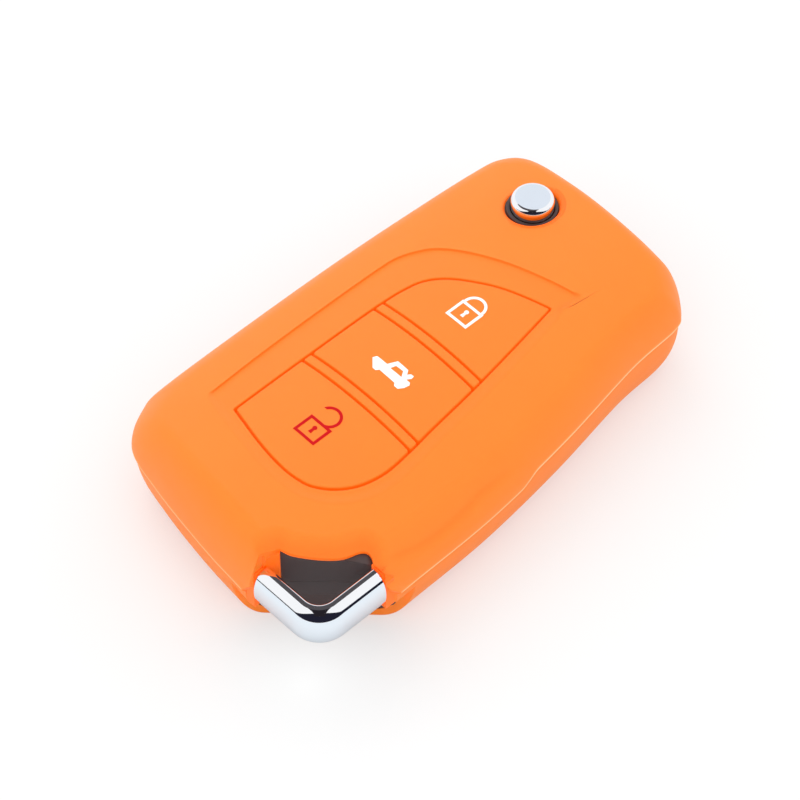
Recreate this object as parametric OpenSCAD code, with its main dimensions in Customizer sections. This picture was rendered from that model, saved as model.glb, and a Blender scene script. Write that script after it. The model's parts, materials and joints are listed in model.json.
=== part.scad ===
// Silicone cover on a folding car key, with the key inside it.
// Millimetres. X across the key, Y towards the release button, Z up.
// The cover stands on Z = 0 and is centred on the origin.

/* [Cover] */
// Length of the cover
cover_l = 81; // [80:0.2:84]
// Width of the cover
cover_w = 48; // [47:0.2:50]
// Height of the crest of the cover
cover_h = 19.3; // [19.2:0.1:20]
// Depth of the widest level of the cover under its crest
waist_drop = 10.3; // [9.9:0.1:10.7]
// Drop of the bowed top face from its middle to its sides
crown_drop = 6.05; // [5.4:0.05:6.1]
// Distance of the crest from the middle of the width
crest_x = 0.5; // [0:0.1:1]
// Reach of the rounding along the upper edge
upper_round = 4.4; // [4:0.1:5]
// Reach of the rounding along the lower edge
lower_round = 4; // [3.4:0.1:5]
// Thickness of the silicone at the sides
side_wall = 1.3; // [1.1:0.05:1.5]
// Thickness of the silicone on top
top_wall = 1.9; // [1.85:0.05:2]
// Thickness of the silicone underneath
base_wall = 1.3; // [1.1:0.05:1.5]
// Gap between the silicone and the case inside it
cover_fit = 0.15; // [0.1:0.05:0.25]
// Gap between the corner loop and the lip of the cover under it
lip_gap = 0.2; // [0.15:0.05:0.4]

/* [Pads] */
// Distance of the leaf-shaped panel of pads from the left side of the cover
panel_left = 14.8; // [14.4:0.1:15]
// Distance of the panel from the right side
panel_right = 11.6; // [11:0.1:12]
// Distance of the panel from the near end
panel_near = 13.25; // [12.8:0.05:13.6]
// Distance of the panel from the far end
panel_far = 22.05; // [21.6:0.05:22.6]
// Depth of the shallow dish round the panel
dish_depth = 0.3; // [0.2:0.05:0.35]
// Width of the dish beyond the left edge of the panel
dish_margin = 5.2; // [4:0.1:6]
// Width of the dish beyond its other edges
dish_rim = 1; // [0.6:0.1:1.4]
// Thickness of a pad
pad_t = 0.8; // [0.7:0.05:0.85]
// Gap round a pad
pad_gap = 0.3; // [0.25:0.05:0.35]
// Width of the strip between two pads
strip_w = 1.68; // [1.4:0.02:2]
// Length of the middle pad
middle_pad_l = 11.63; // [11:0.01:12.4]
// Distance of the middle pad from the middle of the panel
middle_pad_y = -0.35; // [-0.8:0.05:0.2]
// Travel of a pad when it is pressed
pad_travel = 0.4; // [0.3:0.02:0.42]
// Room left under a pad that is pressed down
travel_room = 0.05; // [0.04:0.01:0.06]
// Thickness of the ink of the symbols
ink_t = 0.06; // [0.04:0.01:0.1]
// Width of the lines of the padlocks
ink_w = 0.42; // [0.3:0.02:0.5]
// Width of the padlocks
padlock_w = 3.95; // [3.4:0.05:4.4]
// Height of the bodies of the padlocks
padlock_h = 3.45; // [3:0.05:3.8]
// Length of the car symbol
car_l = 6.95; // [6:0.05:7.6]

/* [Case] */
// Thickness of the walls of the case
case_wall = 1.2; // [1.1:0.05:1.3]
// Depth of the joint between the halves of the case under the crest
split_drop = 9.8; // [9.6:0.05:10]
// Radius of the screws of the case
screw_r = 0.7; // [0.6:0.05:0.8]
// Radius of the heads of the screws
screw_head_r = 1.3; // [1.2:0.05:1.4]
// Height of the heads of the screws
screw_head_h = 0.9; // [0.7:0.05:1]
// Length of a screw that holds in the upper half of the case
screw_grip = 2.35; // [1.9:0.05:2.8]

/* [Corner loop] */
// Width of the loop's bar, seen from above
bar_w = 2.85; // [2.6:0.05:2.9]
// Height of the loop's bar
bar_h = 7; // [6.6:0.1:7.2]
// Depth of the middle of the bar under the crest of the cover
bar_drop = 9.05; // [8.9:0.05:9.1]
// Gap from the bar's outer face to the widest line of the cover's side
bar_side_gap = 0.7; // [0.6:0.05:0.8]
// Gap from the bar's outer face to the lowest line of the cover's end
bar_end_gap = 0.85; // [0.7:0.05:1]
// Gap between the arms and the slanted wall of the case
slant_gap = 0.75; // [0.6:0.05:0.8]
// How far the body stands back under the loop
step_in = 1.5; // [1.2:0.1:1.6]
// Radius of the outer corner of the bar
bar_corner_r = 5; // [4.6:0.1:5]
// Radius of the bulge of the bar's outer face
bar_bulge_r = 4.7; // [4.6:0.1:7]
// Length of an arm of the loop that stands clear of the cover
arm_l = 12.4; // [12.2:0.1:12.4]
// Length of the tongue that holds an arm in the case
tongue_l = 6; // [5:0.1:6.4]
// Height of a tongue
tongue_h = 3.4; // [3:0.1:3.6]
// Thickness of a tongue
tongue_t = 1.2; // [1:0.05:1.3]

/* [Release button] */
// Distance of the pivot from the left side of the cover
pivot_side = 16.8; // [16.6:0.05:17]
// Distance of the pivot from the far end of the cover
pivot_end = 10.5; // [10.4:0.05:11]
// Radius of the chromed cap
cap_r = 3.25; // [3.1:0.05:3.3]
// How far the cap stands above the crest of the cover
cap_proud = 1.3; // [1.1:0.05:1.5]
// Height of the rounded part of the cap
cap_dome_h = 1.1; // [0.9:0.05:1.3]
// Radius of the hole in the cover round the cap
cap_hole_r = 4.15; // [4.1:0.05:4.3]
// Travel of the release button
release_travel = 1.5; // [1.2:0.05:1.5]
// Radius of the wire of the release spring
spring_wire_r = 0.28; // [0.22:0.01:0.3]
// Turns of the release spring
spring_turns = 5; // [4:1:6]

/* [Folding key] */
// Width of the blade
blade_w = 6.8; // [6.4:0.1:6.9]
// Thickness of the blade
blade_t = 2.4; // [2.2:0.05:2.4]
// Distance from the pivot to the middle of the blade
blade_offset = 10.2; // [10.15:0.05:10.3]
// Distance from the tip of the folded blade to the near end of the cover
blade_end = 20.9; // [20.6:0.1:23]
// Depth of the milled track in each face of the blade
track_depth = 0.6; // [0.4:0.05:0.7]
// Width of the milled track
track_w = 1.7; // [1.4:0.1:2]
// Radius of the hub that the blade turns on
hub_r = 6.9; // [6.7:0.05:7]
// Thickness of the arm that holds the blade
arm_t = 4.2; // [4:0.05:4.2]
// Gap round the parts that swing
swing_gap = 0.4; // [0.35:0.05:0.5]
// Thickness of the washer under the hub
washer_t = 0.4; // [0.3:0.05:0.5]
// Radial clearance of the parts that turn or slide in a bore
run_fit = 0.08; // [0.05:0.01:0.1]

/* [Electronics] */
// Gap between the circuit board and the right wall of the case
board_right = 6.15; // [6:0.05:7]
// Gap between the board and the near end of the case
board_near = 11.35; // [11:0.05:12]
// Gap between the board and the pocket of the hub
board_far = 4.2; // [4:0.1:5]
// Thickness of the circuit board
board_t = 0.8; // [0.7:0.05:0.85]
// Depth of the underside of the circuit board under the crest of the cover
board_drop = 7.1; // [7.05:0.05:7.15]
// Room beside the coin cell across its tray
cell_room = 6; // [5.6:0.1:8]
// Thickness of the coin cell
cell_t = 3.2; // [2.6:0.1:3.2]
// Thickness of the sheet metal of the contacts
contact_t = 0.2; // [0.15:0.01:0.22]
// Thickness of the floor and walls of the tray
tray_wall = 0.8; // [0.6:0.05:0.9]
// Radius of a rubber key
key_r = 2.6; // [2.4:0.05:2.7]
// Thickness of the rubber mat
mat_t = 0.6; // [0.5:0.02:0.62]
// Width of a switch
switch_w = 4.5; // [4:0.1:4.8]
// Height of a switch
switch_h = 1.2; // [1.1:0.02:1.2]
// Radius of a switch plunger
plunger_r = 0.9; // [0.8:0.05:1]

/* [Hidden] */
$fn = 64;

silicone_colour = "#ff9238";
ink_white = "#ffffff";
ink_red = "#d8101c";
plastic_colour = "#332a2c";
chrome_colour = "#d9dde2";
steel_colour = "#a9abab";
rubber_colour = "#26272a";
board_colour = "#1f6a3e";
brass_colour = "#c9a552";

half_w = cover_w / 2;
half_l = cover_l / 2;
waist_z = cover_h - waist_drop;
split_z = cover_h - split_drop;
bar_z = cover_h - bar_drop;
board_z = cover_h - board_drop;
crown_r = (half_w * half_w + crown_drop * crown_drop) / (2 * crown_drop);
panel_w = cover_w - panel_left - panel_right;
panel_l = cover_l - panel_near - panel_far;
panel_x = (panel_left - panel_right) / 2;
panel_y = (panel_near - panel_far) / 2;
overrun = cover_l;
face_gap = cover_fit / 3;

// Outline of the cover as shares of its half width and half length, clockwise from above
outline_shares = [[-0.985, -0.632], [-0.998, -0.188], [-0.996, 0.208], [-0.975, 0.553],
    [-0.942, 0.824], [-0.885, 0.936], [-0.721, 0.997], [-0.338, 0.994], [0.1, 0.985],
    [0.425, 0.971], [0.558, 0.952], [0.68, 0.886], [0.734, 0.817], [0.78, 0.601],
    [0.896, 0.213], [0.97, -0.175], [0.992, -0.529], [0.99, -0.805], [0.915, -0.948],
    [0.715, -0.998], [0.339, -0.988], [-0.077, -0.958], [-0.494, -0.908], [-0.786, -0.854],
    [-0.944, -0.76]];
lower_angles = [0, 30, 60];
upper_angles = [0, 18, 36, 54, 72, 90];
crown_shares = [0.75, 0.5, 0.25];
outer_steps = 3;
inner_steps = 2;

// Drops of the inner faces below the top face, and levels at the base
pad_drop = dish_depth;
pocket_drop = pad_drop + pad_t + pad_travel + travel_room;
case_drop = top_wall + cover_fit;
roof_drop = case_drop + case_wall;
mat_drop = roof_drop + face_gap;
case_in = side_wall + cover_fit;
case_base = base_wall + cover_fit;
cavity_in = case_in + case_wall;
floor_z = case_base + case_wall;

// Point between p[1] and p[2] of four points of a smooth line
function smooth_point(p, t) = (2 * p[1] + (p[2] - p[0]) * t
    + (2 * p[0] - 5 * p[1] + 4 * p[2] - p[3]) * t * t
    + (3 * p[1] - p[0] - 3 * p[2] + p[3]) * t * t * t) / 2;
// Closed smooth line through points
function smooth_loop(p, steps) = let (n = len(p))
    [for (i = [0 : n - 1]) for (k = [0 : steps - 1])
        smooth_point([p[(i + n - 1) % n], p[i], p[(i + 1) % n], p[(i + 2) % n]], k / steps)];
// Open smooth line through points, without its last point
function smooth_line(p, steps) = let (n = len(p))
    [for (i = [0 : n - 2]) for (k = [0 : steps - 1])
        smooth_point([p[max(i - 1, 0)], p[i], p[i + 1], p[min(i + 2, n - 1)]], k / steps)];

// Drop of the bowed top face below the crest at a distance x from the middle
function bow(x) = crown_r - sqrt(crown_r * crown_r - (x - crest_x) * (x - crest_x));
// Height of a face that lies a drop below the top face
function top_z(x, drop) = cover_h - drop - bow(x);
// Points of the outline, drawn in by a distance
function drawn_in(line, d) = [for (p = line) [p.x * (half_w - d), p.y * (half_l - d)]];

// Places of the corner loop
bar_x = half_w - bar_side_gap;
bar_y = half_l - bar_end_gap;
inner_x = bar_x - bar_w;
inner_y = bar_y - bar_w;
arm_x = bar_x - arm_l;
arm_y = bar_y - arm_l;
mouth_gap = bar_w / 8;
slant_leg = arm_l - bar_w + slant_gap * sqrt(2);
bar_low_z = bar_z - bar_h / 2;
lip_z = bar_low_z - lip_gap;
lap_z = bar_low_z + bar_h + lip_gap;

// Places of the release button and of the folding key
pivot_x = pivot_side - half_w;
pivot_y = half_l - pivot_end;
pivot = [pivot_x, pivot_y];
guard_wall = case_wall * 2 / 3;
blade_half = blade_w / 2;
arm_side = blade_offset + blade_half + guard_wall;
arm_reach = blade_w * 0.82;
arm_top = blade_w * 0.62;
blade_l = cover_l - pivot_end - arm_reach - blade_end;
arm_bevel = arm_top / 2;
channel_x = pivot_x - blade_offset + blade_half + swing_gap;
channel_y = pivot_y - arm_reach - blade_l - 2 * swing_gap;
channel_high = blade_t / 2 + swing_gap;
head_y = pivot_y - hub_r - swing_gap;
head_r = sqrt(arm_side * arm_side + arm_reach * arm_reach) + swing_gap;
head_high = arm_t / 2 + swing_gap;
head_roof = head_high + guard_wall;
open_x = pivot_x + blade_offset + blade_half + swing_gap;

// Levels and radii of the pivot
collar_r = cap_r + run_fit;
collar_ring_r = cap_hole_r - swing_gap / 2;
collar_top_z = top_z(pivot_x, top_wall / 2);
post_r = hub_r * 0.435;
post_top_z = split_z - arm_t / 2;
boss_r = hub_r * 0.78;
flange_r = boss_r - case_wall;
flange_t = case_wall;
flange_room_r = flange_r + 2 * run_fit;
flange_roof_z = top_z(pivot_x, roof_drop) - case_wall;
flange_top_z = flange_roof_z - run_fit;
flange_low_z = flange_top_z - flange_t;
web_top_z = flange_low_z - release_travel - 1.45 * swing_gap;
boss_low_z = web_top_z + swing_gap;
hub_low_z = floor_z + washer_t + face_gap;
hub_top_z = top_z(pivot_x - hub_r, roof_drop) - swing_gap;
spring_r = post_r - 2.5 * spring_wire_r;
cap_top_z = cover_h + cap_proud;
pin_at = [-blade_offset, -arm_reach / 3];
pin_r = blade_w * 0.12;
root_end = arm_top / 2;

// Levels and places of the electronics
board_top_z = board_z + board_t;
switch_top_z = board_top_z + switch_h;
key_low_z = switch_top_z + pad_travel + 2 * travel_room;
key_top_z = cover_h - case_drop;
skirt_r = key_r * 1.3;
skirt_t = mat_t * 0.6;
nub_r = key_r * 0.62;
plunger_room = face_gap;
mat_half_w = 3 * key_r;
tray_post_share = 0.15;
cell_top_z = board_z - contact_t;
cell_low_z = cell_top_z - cell_t;
tray_floor_z = cell_low_z - contact_t;
tray_low_z = tray_floor_z - tray_wall;
board_x0 = channel_x + guard_wall + swing_gap;
board_x1 = half_w - cavity_in - board_right;
board_y1 = head_y - board_far;
board_y0 = cavity_in + board_near - half_l;
board_w = board_x1 - board_x0;
board_l = board_y1 - board_y0;
cell_r = (board_w - 2 * tray_wall - cell_room) / 2;
cell_x = (board_x0 + board_x1) / 2 + cell_r * 0.15;
cell_y = board_y0 + cell_r + tray_wall * 4;
key_shares = [[-0.079, 0.578], [-0.046, -0.03], [-0.032, -0.68]];
key_spots = [for (s = key_shares) [panel_x + s.x * panel_w / 2, panel_y + s.y * panel_l / 2]];
lock = 0;
trunk = 1;
unlock = 2;
screw_boss_r = 2.8 * screw_r;
screw_spots = [[board_x0 + screw_boss_r / 2, board_y0 - swing_gap - screw_boss_r],
    [board_x1 - screw_boss_r, board_y1 + swing_gap + screw_boss_r]];
screw_tip_z = split_z + screw_grip;
chip_size = [hub_r * 1.4, hub_r * 0.45, hub_r * 0.42];
chip_corner = [board_x0 + 3 * screw_boss_r, board_y0 - swing_gap - case_wall - chip_size.y, floor_z];

// Rings of points up the body, drawn in at the sides, the top and the base
function body_rings(side, drop, base, steps) =
    let (line = smooth_loop(outline_shares, steps),
        low = lower_round - side / 2, high = upper_round - side / 2)
    concat(
        [for (a = lower_angles) [for (p = drawn_in(line, side + low * (1 - sin(a))))
            [p.x, p.y, base + (waist_z - base) * (1 - cos(a))]]],
        [for (a = upper_angles) [for (p = drawn_in(line, side + high * (1 - cos(a))))
            [p.x, p.y, waist_z + (top_z(p.x, drop) - waist_z) * sin(a)]]],
        [for (s = crown_shares) [for (p = drawn_in(line, side + high))
            [p.x * s, p.y * s, top_z(p.x * s, drop)]]]);

// Closed body of the cover's shape, drawn in at the sides, the top and the base
module body(side, drop, base, steps) {
    rings = body_rings(side, drop, base, steps);
    n = len(rings[0]);
    m = len(rings);
    points = concat([for (r = rings) each r], [[0, 0, base], [0, 0, top_z(0, drop)]]);
    walls = [for (j = [0 : m - 2]) for (i = [0 : n - 1])
        let (a = j * n + i, b = j * n + (i + 1) % n) each [[a, b, b + n], [a, b + n, a + n]]];
    low_cap = [for (i = [0 : n - 1]) [(i + 1) % n, i, m * n]];
    high_cap = [for (i = [0 : n - 1]) [(m - 1) * n + i, (m - 1) * n + (i + 1) % n, m * n + 1]];
    polyhedron(points, concat(walls, low_cap, high_cap));
}

// Everything below the bowed face that lies a drop under the top face
module under_bow(drop) {
    translate([crest_x, overrun, cover_h - drop - crown_r])
        rotate([90, 0, 0]) cylinder(r = crown_r, h = 2 * overrun, $fn = 256);
}
// A flat outline carried up, between two bowed faces
module bowed_sheet(drop, t) {
    difference() {
        intersection() {
            linear_extrude(2 * cover_h) children();
            under_bow(drop);
        }
        under_bow(drop + t);
    }
}
// Box from its low corner to its high corner
module block(low, high) {
    translate(low) cube(high - low);
}
// Upright cylinder between two heights
module post(at, r, z0, z1) {
    translate([at.x, at.y, z0]) cylinder(r = r, h = z1 - z0);
}
// Everything outside the slanted line across the loop's corner, moved in by a distance
module beyond_slant(d) {
    translate([inner_x - slant_leg - d * sqrt(2), -inner_y, -overrun])
        rotate([0, 0, 45]) translate([-overrun, -overrun, 0])
            cube([2 * overrun, overrun, 2 * overrun]);
}

// The cover

// Edge of the top skin over the loop, from the loop's inner corner, as shares of an arm
bite_shares = [[-0.64, 0], [-0.64, 0.036], [-0.403, 0.262], [-0.258, 0.456], [-0.185, 0.637],
    [-0.1, 0.8], [0.012, 0.827]];
// Opening of the cover at the corner loop
module mouth() {
    intersection() {
        beyond_slant(0);
        block([arm_x - mouth_gap, -overrun, lip_z - face_gap],
            [overrun, -arm_y + mouth_gap, lap_z + face_gap]);
    }
    translate([inner_x, -inner_y, lap_z]) linear_extrude(overrun)
        polygon(concat(arm_l * bite_shares, [[overrun, arm_l * bite_shares[6].y],
            [overrun, -overrun], [arm_l * bite_shares[0].x, -overrun]]));
    low_corner();
}
// Corner that is missing under the loop
module low_corner() {
    intersection() {
        beyond_slant(step_in);
        block([-overrun, -overrun, -overrun], [overrun, overrun, lip_z]);
    }
}
// Openings that the folded blade swings out through, at both sides of its corner
module blade_slot() {
    block([-overrun, channel_y, split_z - channel_high], [channel_x, pivot_y, split_z + channel_high]);
    block([-overrun, pivot_y, split_z - channel_high], [open_x, overrun, split_z + channel_high]);
}
// Space that the head of the folding key swings in
module head_space() {
    intersection() {
        post(pivot, head_r, split_z - head_high, split_z + head_high);
        block([-overrun, head_y, 0], [overrun, overrun, cover_h]);
    }
    block([-overrun, head_y, split_z - head_high], [pivot_x, overrun, split_z + head_high]);
}
module cover_sleeve() {
    color(silicone_colour) difference() {
        body(0, 0, 0, outer_steps);
        body(side_wall, top_wall, base_wall, inner_steps);
        difference() {
            dish();
            under_bow(pad_drop);
        }
        for (i = [lock, trunk, unlock]) {
            difference() {
                pad_block(i, pad_gap / 2);
                under_bow(pocket_drop);
            }
            post(key_spots[i], nub_r + pad_gap, waist_z, cover_h);
        }
        post(pivot, cap_hole_r, waist_z + head_high, cover_h);
        blade_slot();
        head_space();
        mouth();
    }
}

// The pads and their symbols

panel_right_shares = [[-0.991, -0.891], [-0.62, -0.972], [-0.2, -1], [0.231, -1],
    [0.546, -0.961], [0.787, -0.86], [0.935, -0.729], [1, -0.554], [0.968, -0.339],
    [0.917, -0.151], [0.824, 0.239], [0.704, 0.637], [0.583, 1]];
panel_left_shares = [[0.583, 1], [0, 0.899], [-0.361, 0.812], [-0.694, 0.707], [-0.88, 0.597],
    [-0.954, 0.47], [-0.986, 0.322], [-1, 0.1], [-1, -0.5], [-0.991, -0.891]];
dish_left_shares = [[0.42, 1.1], [0.388, 1.126], [0.041, 1.054], [-0.259, 0.983],
    [-0.559, 0.895], [-0.753, 0.816], [-0.847, 0.744], [-0.935, 0.627], [-0.959, 0.48],
    [-0.965, 0.069], [-0.953, -0.426], [-0.924, -0.832]];
panel_steps = 3;

// Leaf-shaped outline from shares, with room to spare at its edges
module leaf(left_shares, left_w, room) {
    polygon(concat(
        [for (p = smooth_line(panel_right_shares, panel_steps))
            [panel_x + p.x * (panel_w / 2 + room), panel_y + p.y * (panel_l / 2 + room)]],
        [for (p = smooth_line(left_shares, panel_steps))
            [panel_x + p.x * (left_w + room), panel_y + p.y * (panel_l / 2 + room)]]));
}
// Column over the dish round the panel
module dish() {
    linear_extrude(overrun) leaf(dish_left_shares, panel_w / 2 + dish_margin, dish_rim);
}
// Column over one pad, larger than the middle of its groove by a margin
module pad_block(i, margin) {
    middle = panel_y + middle_pad_y;
    step = middle_pad_l / 2 + strip_w;
    lows = [middle + step, middle - middle_pad_l / 2, -overrun];
    highs = [overrun, middle + middle_pad_l / 2, middle - step];
    intersection() {
        linear_extrude(overrun) leaf(panel_left_shares, panel_w / 2, margin);
        block([-overrun, lows[i] - margin, waist_z], [overrun, highs[i] + margin, overrun]);
    }
}
module pad(i) {
    color(silicone_colour) union() {
        difference() {
            intersection() {
                pad_block(i, -pad_gap / 2);
                under_bow(pad_drop);
            }
            under_bow(pad_drop + pad_t);
        }
        post(key_spots[i], nub_r, key_top_z, cover_h - pad_drop - pad_t / 2);
    }
}
module lock_pad() { pad(lock); }
module trunk_pad() { pad(trunk); }
module unlock_pad() { pad(unlock); }

// Ink on a pad, from a flat outline
module ink(i, colour) {
    color(colour) difference() {
        intersection() {
            translate(key_spots[i]) linear_extrude(2 * cover_h) children();
            under_bow(pad_drop - ink_t);
        }
        under_bow(pad_drop);
    }
}
// Box from its middle
module middle_square(w, h) {
    translate([-w / 2, -h / 2]) square([w, h]);
}
// Body of a padlock with its keyhole
module padlock_body() {
    difference() {
        middle_square(padlock_w, padlock_h);
        middle_square(padlock_w - 2 * ink_w, padlock_h - 2 * ink_w);
    }
    translate([0, padlock_h / 8]) circle(r = ink_w * 0.8);
    polygon([[-ink_w / 3, padlock_h / 8], [-ink_w * 2 / 3, -padlock_h / 6],
        [ink_w * 2 / 3, -padlock_h / 6], [ink_w / 3, padlock_h / 8]]);
}
// Shackle as a ring cut to what lies on one side of its foot
module shackle(rise, shift, low) {
    r = padlock_w * 0.465;
    difference() {
        translate([shift, padlock_h / 2 + rise]) circle(r = r);
        translate([shift, padlock_h / 2 + rise]) circle(r = r - ink_w);
        translate([-padlock_w, low - padlock_w]) square([2 * padlock_w, padlock_w]);
        if (rise > padlock_h / 4)
            translate([-padlock_w, low]) square([padlock_w, rise * 1.7]);
    }
}
module lock_symbol() {
    ink(lock, ink_white) union() {
        padlock_body();
        shackle(ink_w / 3, 0, padlock_h / 2 - ink_w / 2);
    }
}
module unlock_symbol() {
    ink(unlock, ink_red) union() {
        padlock_body();
        shackle(padlock_h * 0.385, 0, padlock_h / 2 - ink_w / 2);
    }
}
car_shares = [[-0.5, -0.063], [-0.459, 0.02], [-0.407, 0.024], [-0.174, 0.019],
    [-0.076, 0.22], [0.219, 0.213], [0.285, 0.118], [0.331, 0.181], [0.403, 0.187],
    [0.413, 0.117], [0.357, 0.023], [0.46, 0.024], [0.5, -0.022], [0.476, -0.145],
    [0.406, -0.252], [0.309, -0.255], [0.26, -0.197], [-0.174, -0.186], [-0.22, -0.247],
    [-0.306, -0.245]];
car_window_shares = [[-0.06, -0.007], [-0.017, 0.115], [0.171, 0.124], [0.253, -0.004]];
module trunk_symbol() {
    ink(trunk, ink_white) difference() {
        polygon(car_l * car_shares);
        polygon(car_l * car_window_shares);
    }
}

// The case

module case_blank() { body(case_in, case_drop, case_base, inner_steps); }
// Parts of the hollow that stay solid
module case_webs() {
    block([-overrun, channel_y - guard_wall, split_z - channel_high - guard_wall],
        [channel_x + guard_wall, head_y, split_z + channel_high + guard_wall]);
    intersection() {
        post(pivot, head_r + guard_wall, split_z - head_roof, split_z + head_roof);
        block([-overrun, head_y - guard_wall, 0], [overrun, overrun, cover_h]);
    }
    beyond_slant(case_wall + step_in);
    half = tongue_h / 2 + case_wall;
    block([arm_x - tongue_l - case_wall, -overrun, split_z - half],
        [arm_x, case_wall - inner_y, split_z + half]);
    block([inner_x - case_wall, -arm_y, split_z - half],
        [overrun, tongue_l + case_wall - arm_y, split_z + half]);
    for (p = screw_spots) post(p, screw_boss_r, 0, cover_h);
}
// Everything cut out of both halves of the case
module case_cuts() {
    blade_slot();
    head_space();
    post(pivot, hub_r + swing_gap, floor_z, hub_top_z + swing_gap);
    beyond_slant(0);
    low_corner();
    tongues(face_gap);
}
module upper_case() {
    color(plastic_colour) difference() {
        union() {
            difference() {
                intersection() {
                    case_blank();
                    block([-overrun, -overrun, split_z], [overrun, overrun, cover_h]);
                }
                difference() {
                    body(cavity_in, roof_drop, floor_z, inner_steps);
                    case_webs();
                    post(pivot, boss_r, boss_low_z, cover_h);
                }
                difference() {
                    case_cuts();
                    post(pivot, boss_r, boss_low_z, cover_h);
                }
            }
            post(pivot, collar_ring_r, flange_roof_z, collar_top_z);
        }
        post(pivot, collar_r, boss_low_z - face_gap, cover_h);
        post(pivot, flange_room_r, boss_low_z - face_gap, flange_roof_z);
        for (s = key_spots) post(s, key_r + pad_gap, split_z, cover_h);
        for (p = screw_spots) post(p, screw_r + face_gap, 0, screw_tip_z + face_gap);
    }
}
module lower_case() {
    color(plastic_colour) union() {
        difference() {
            intersection() {
                case_blank();
                block([-overrun, -overrun, 0], [overrun, overrun, split_z]);
            }
            difference() {
                body(cavity_in, roof_drop, floor_z, inner_steps);
                case_webs();
            }
            case_cuts();
            for (p = screw_spots) {
                post(p, screw_r + run_fit, 0, cover_h);
                post(p, screw_head_r + run_fit, 0, case_base + screw_head_h + face_gap);
            }
        }
        post(pivot, post_r, floor_z - face_gap, post_top_z);
        for (x = [board_x0, board_x1], y = [board_y0, board_y1])
            post([x + (cell_x - x) * tray_post_share, y + (cell_y - y) * tray_post_share],
                case_wall, floor_z - face_gap, tray_low_z);
        for (y = [-case_wall - face_gap, chip_size.y + face_gap])
            translate(chip_corner + [0, y, -face_gap]) cube([chip_size.x, case_wall, chip_size.z]);
    }
}
module case_screws() {
    color(steel_colour) for (p = screw_spots) {
        post(p, screw_r, case_base + screw_head_h, screw_tip_z);
        difference() {
            post(p, screw_head_r, case_base, case_base + screw_head_h);
            translate([p.x, p.y, case_base]) for (a = [0, 90]) rotate([0, 0, a])
                translate([-screw_r, -screw_r / 4, 0]) cube([2 * screw_r, screw_r / 2, screw_head_h / 2]);
        }
    }
}

// The corner loop for the key ring

module bar_profile() {
    intersection() {
        translate([0, -bar_h / 2]) square([bar_w, bar_h]);
        translate([bar_w - bar_bulge_r, 0]) circle(r = bar_bulge_r);
    }
}
// Tongues that hold the loop in the case, with a clearance
module tongues(gap) {
    half = tongue_h / 2 + gap;
    block([arm_x - tongue_l - gap, -inner_y - tongue_t - gap, split_z - half],
        [arm_x + face_gap, gap - inner_y, split_z + half]);
    block([inner_x - gap, -arm_y - face_gap, split_z - half],
        [inner_x + tongue_t + gap, tongue_l + gap - arm_y, split_z + half]);
}
module corner_loop() {
    turn_x = bar_x - bar_corner_r;
    turn_y = bar_y - bar_corner_r;
    color(chrome_colour) union() {
        translate([turn_x, -turn_y, bar_z]) rotate([0, 0, -90]) rotate_extrude(angle = 90)
            translate([bar_corner_r - bar_w, 0]) bar_profile();
        translate([inner_x, -arm_y, bar_z]) rotate([90, 0, 0])
            linear_extrude(turn_y - arm_y) bar_profile();
        translate([turn_x, -inner_y, bar_z]) rotate([0, 0, -90]) rotate([90, 0, 0])
            linear_extrude(turn_x - arm_x) bar_profile();
        tongues(0);
    }
}

// The keypad and the electronics

module key_mat() {
    color(rubber_colour) difference() {
        bowed_sheet(mat_drop, mat_t)
            translate([key_spots[unlock].x - mat_half_w, board_y0 + tray_wall])
                square([2 * mat_half_w, board_l - 4 * tray_wall]);
        for (s = key_spots) post(s, key_r + pad_gap, split_z, cover_h);
    }
}
module rubber_key(i) {
    color(rubber_colour) union() {
        post(key_spots[i], key_r, key_low_z, key_top_z);
        post(key_spots[i], skirt_r, key_low_z, key_low_z + skirt_t);
    }
}
module lock_key() { rubber_key(lock); }
module trunk_key() { rubber_key(trunk); }
module unlock_key() { rubber_key(unlock); }

module tact_switch(i) {
    s = key_spots[i];
    color(rubber_colour) difference() {
        translate([s.x - switch_w / 2, s.y - switch_w / 2, board_top_z])
            cube([switch_w, switch_w, switch_h]);
        post(s, plunger_r + face_gap, board_top_z + plunger_room, cover_h);
    }
}
module lock_switch() { tact_switch(lock); }
module trunk_switch() { tact_switch(trunk); }
module unlock_switch() { tact_switch(unlock); }
module plunger(i) {
    color(steel_colour)
        post(key_spots[i], plunger_r, board_top_z + plunger_room + pad_travel + travel_room, key_low_z);
}
module lock_plunger() { plunger(lock); }
module trunk_plunger() { plunger(trunk); }
module unlock_plunger() { plunger(unlock); }

module circuit_board() {
    color(board_colour)
        translate([board_x0, board_y0, board_z]) cube([board_w, board_l, board_t]);
}
// Places on the board as shares of its width and length
module on_board(share) {
    translate([board_x0 + share.x * board_w, board_y0 + share.y * board_l, board_top_z]) children();
}
module controller_chip() {
    color(rubber_colour) on_board([0.08, 0.42])
        cube([switch_w, switch_w * 1.3, board_t]);
}
module quartz_can() {
    color(chrome_colour) on_board([0.78, 0.55])
        cube([switch_w * 0.7, switch_w * 0.55, board_t]);
}
module antenna_coil() {
    color(brass_colour) on_board([0.16, 0.88]) difference() {
        cylinder(r = switch_w / 2, h = switch_h * 0.8);
        translate([0, 0, -switch_h]) cylinder(r = switch_w / 4, h = 3 * switch_h);
    }
}
part_shares = [[0.08, 0.3], [0.08, 0.24], [0.2, 0.18], [0.78, 0.7], [0.86, 0.7], [0.8, 0.4],
    [0.88, 0.4], [0.8, 0.25], [0.88, 0.25], [0.3, 0.72]];
module board_parts() {
    color(brass_colour) for (s = part_shares) on_board(s)
        cube([board_t * 1.6, board_t, board_t / 2]);
}
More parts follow.
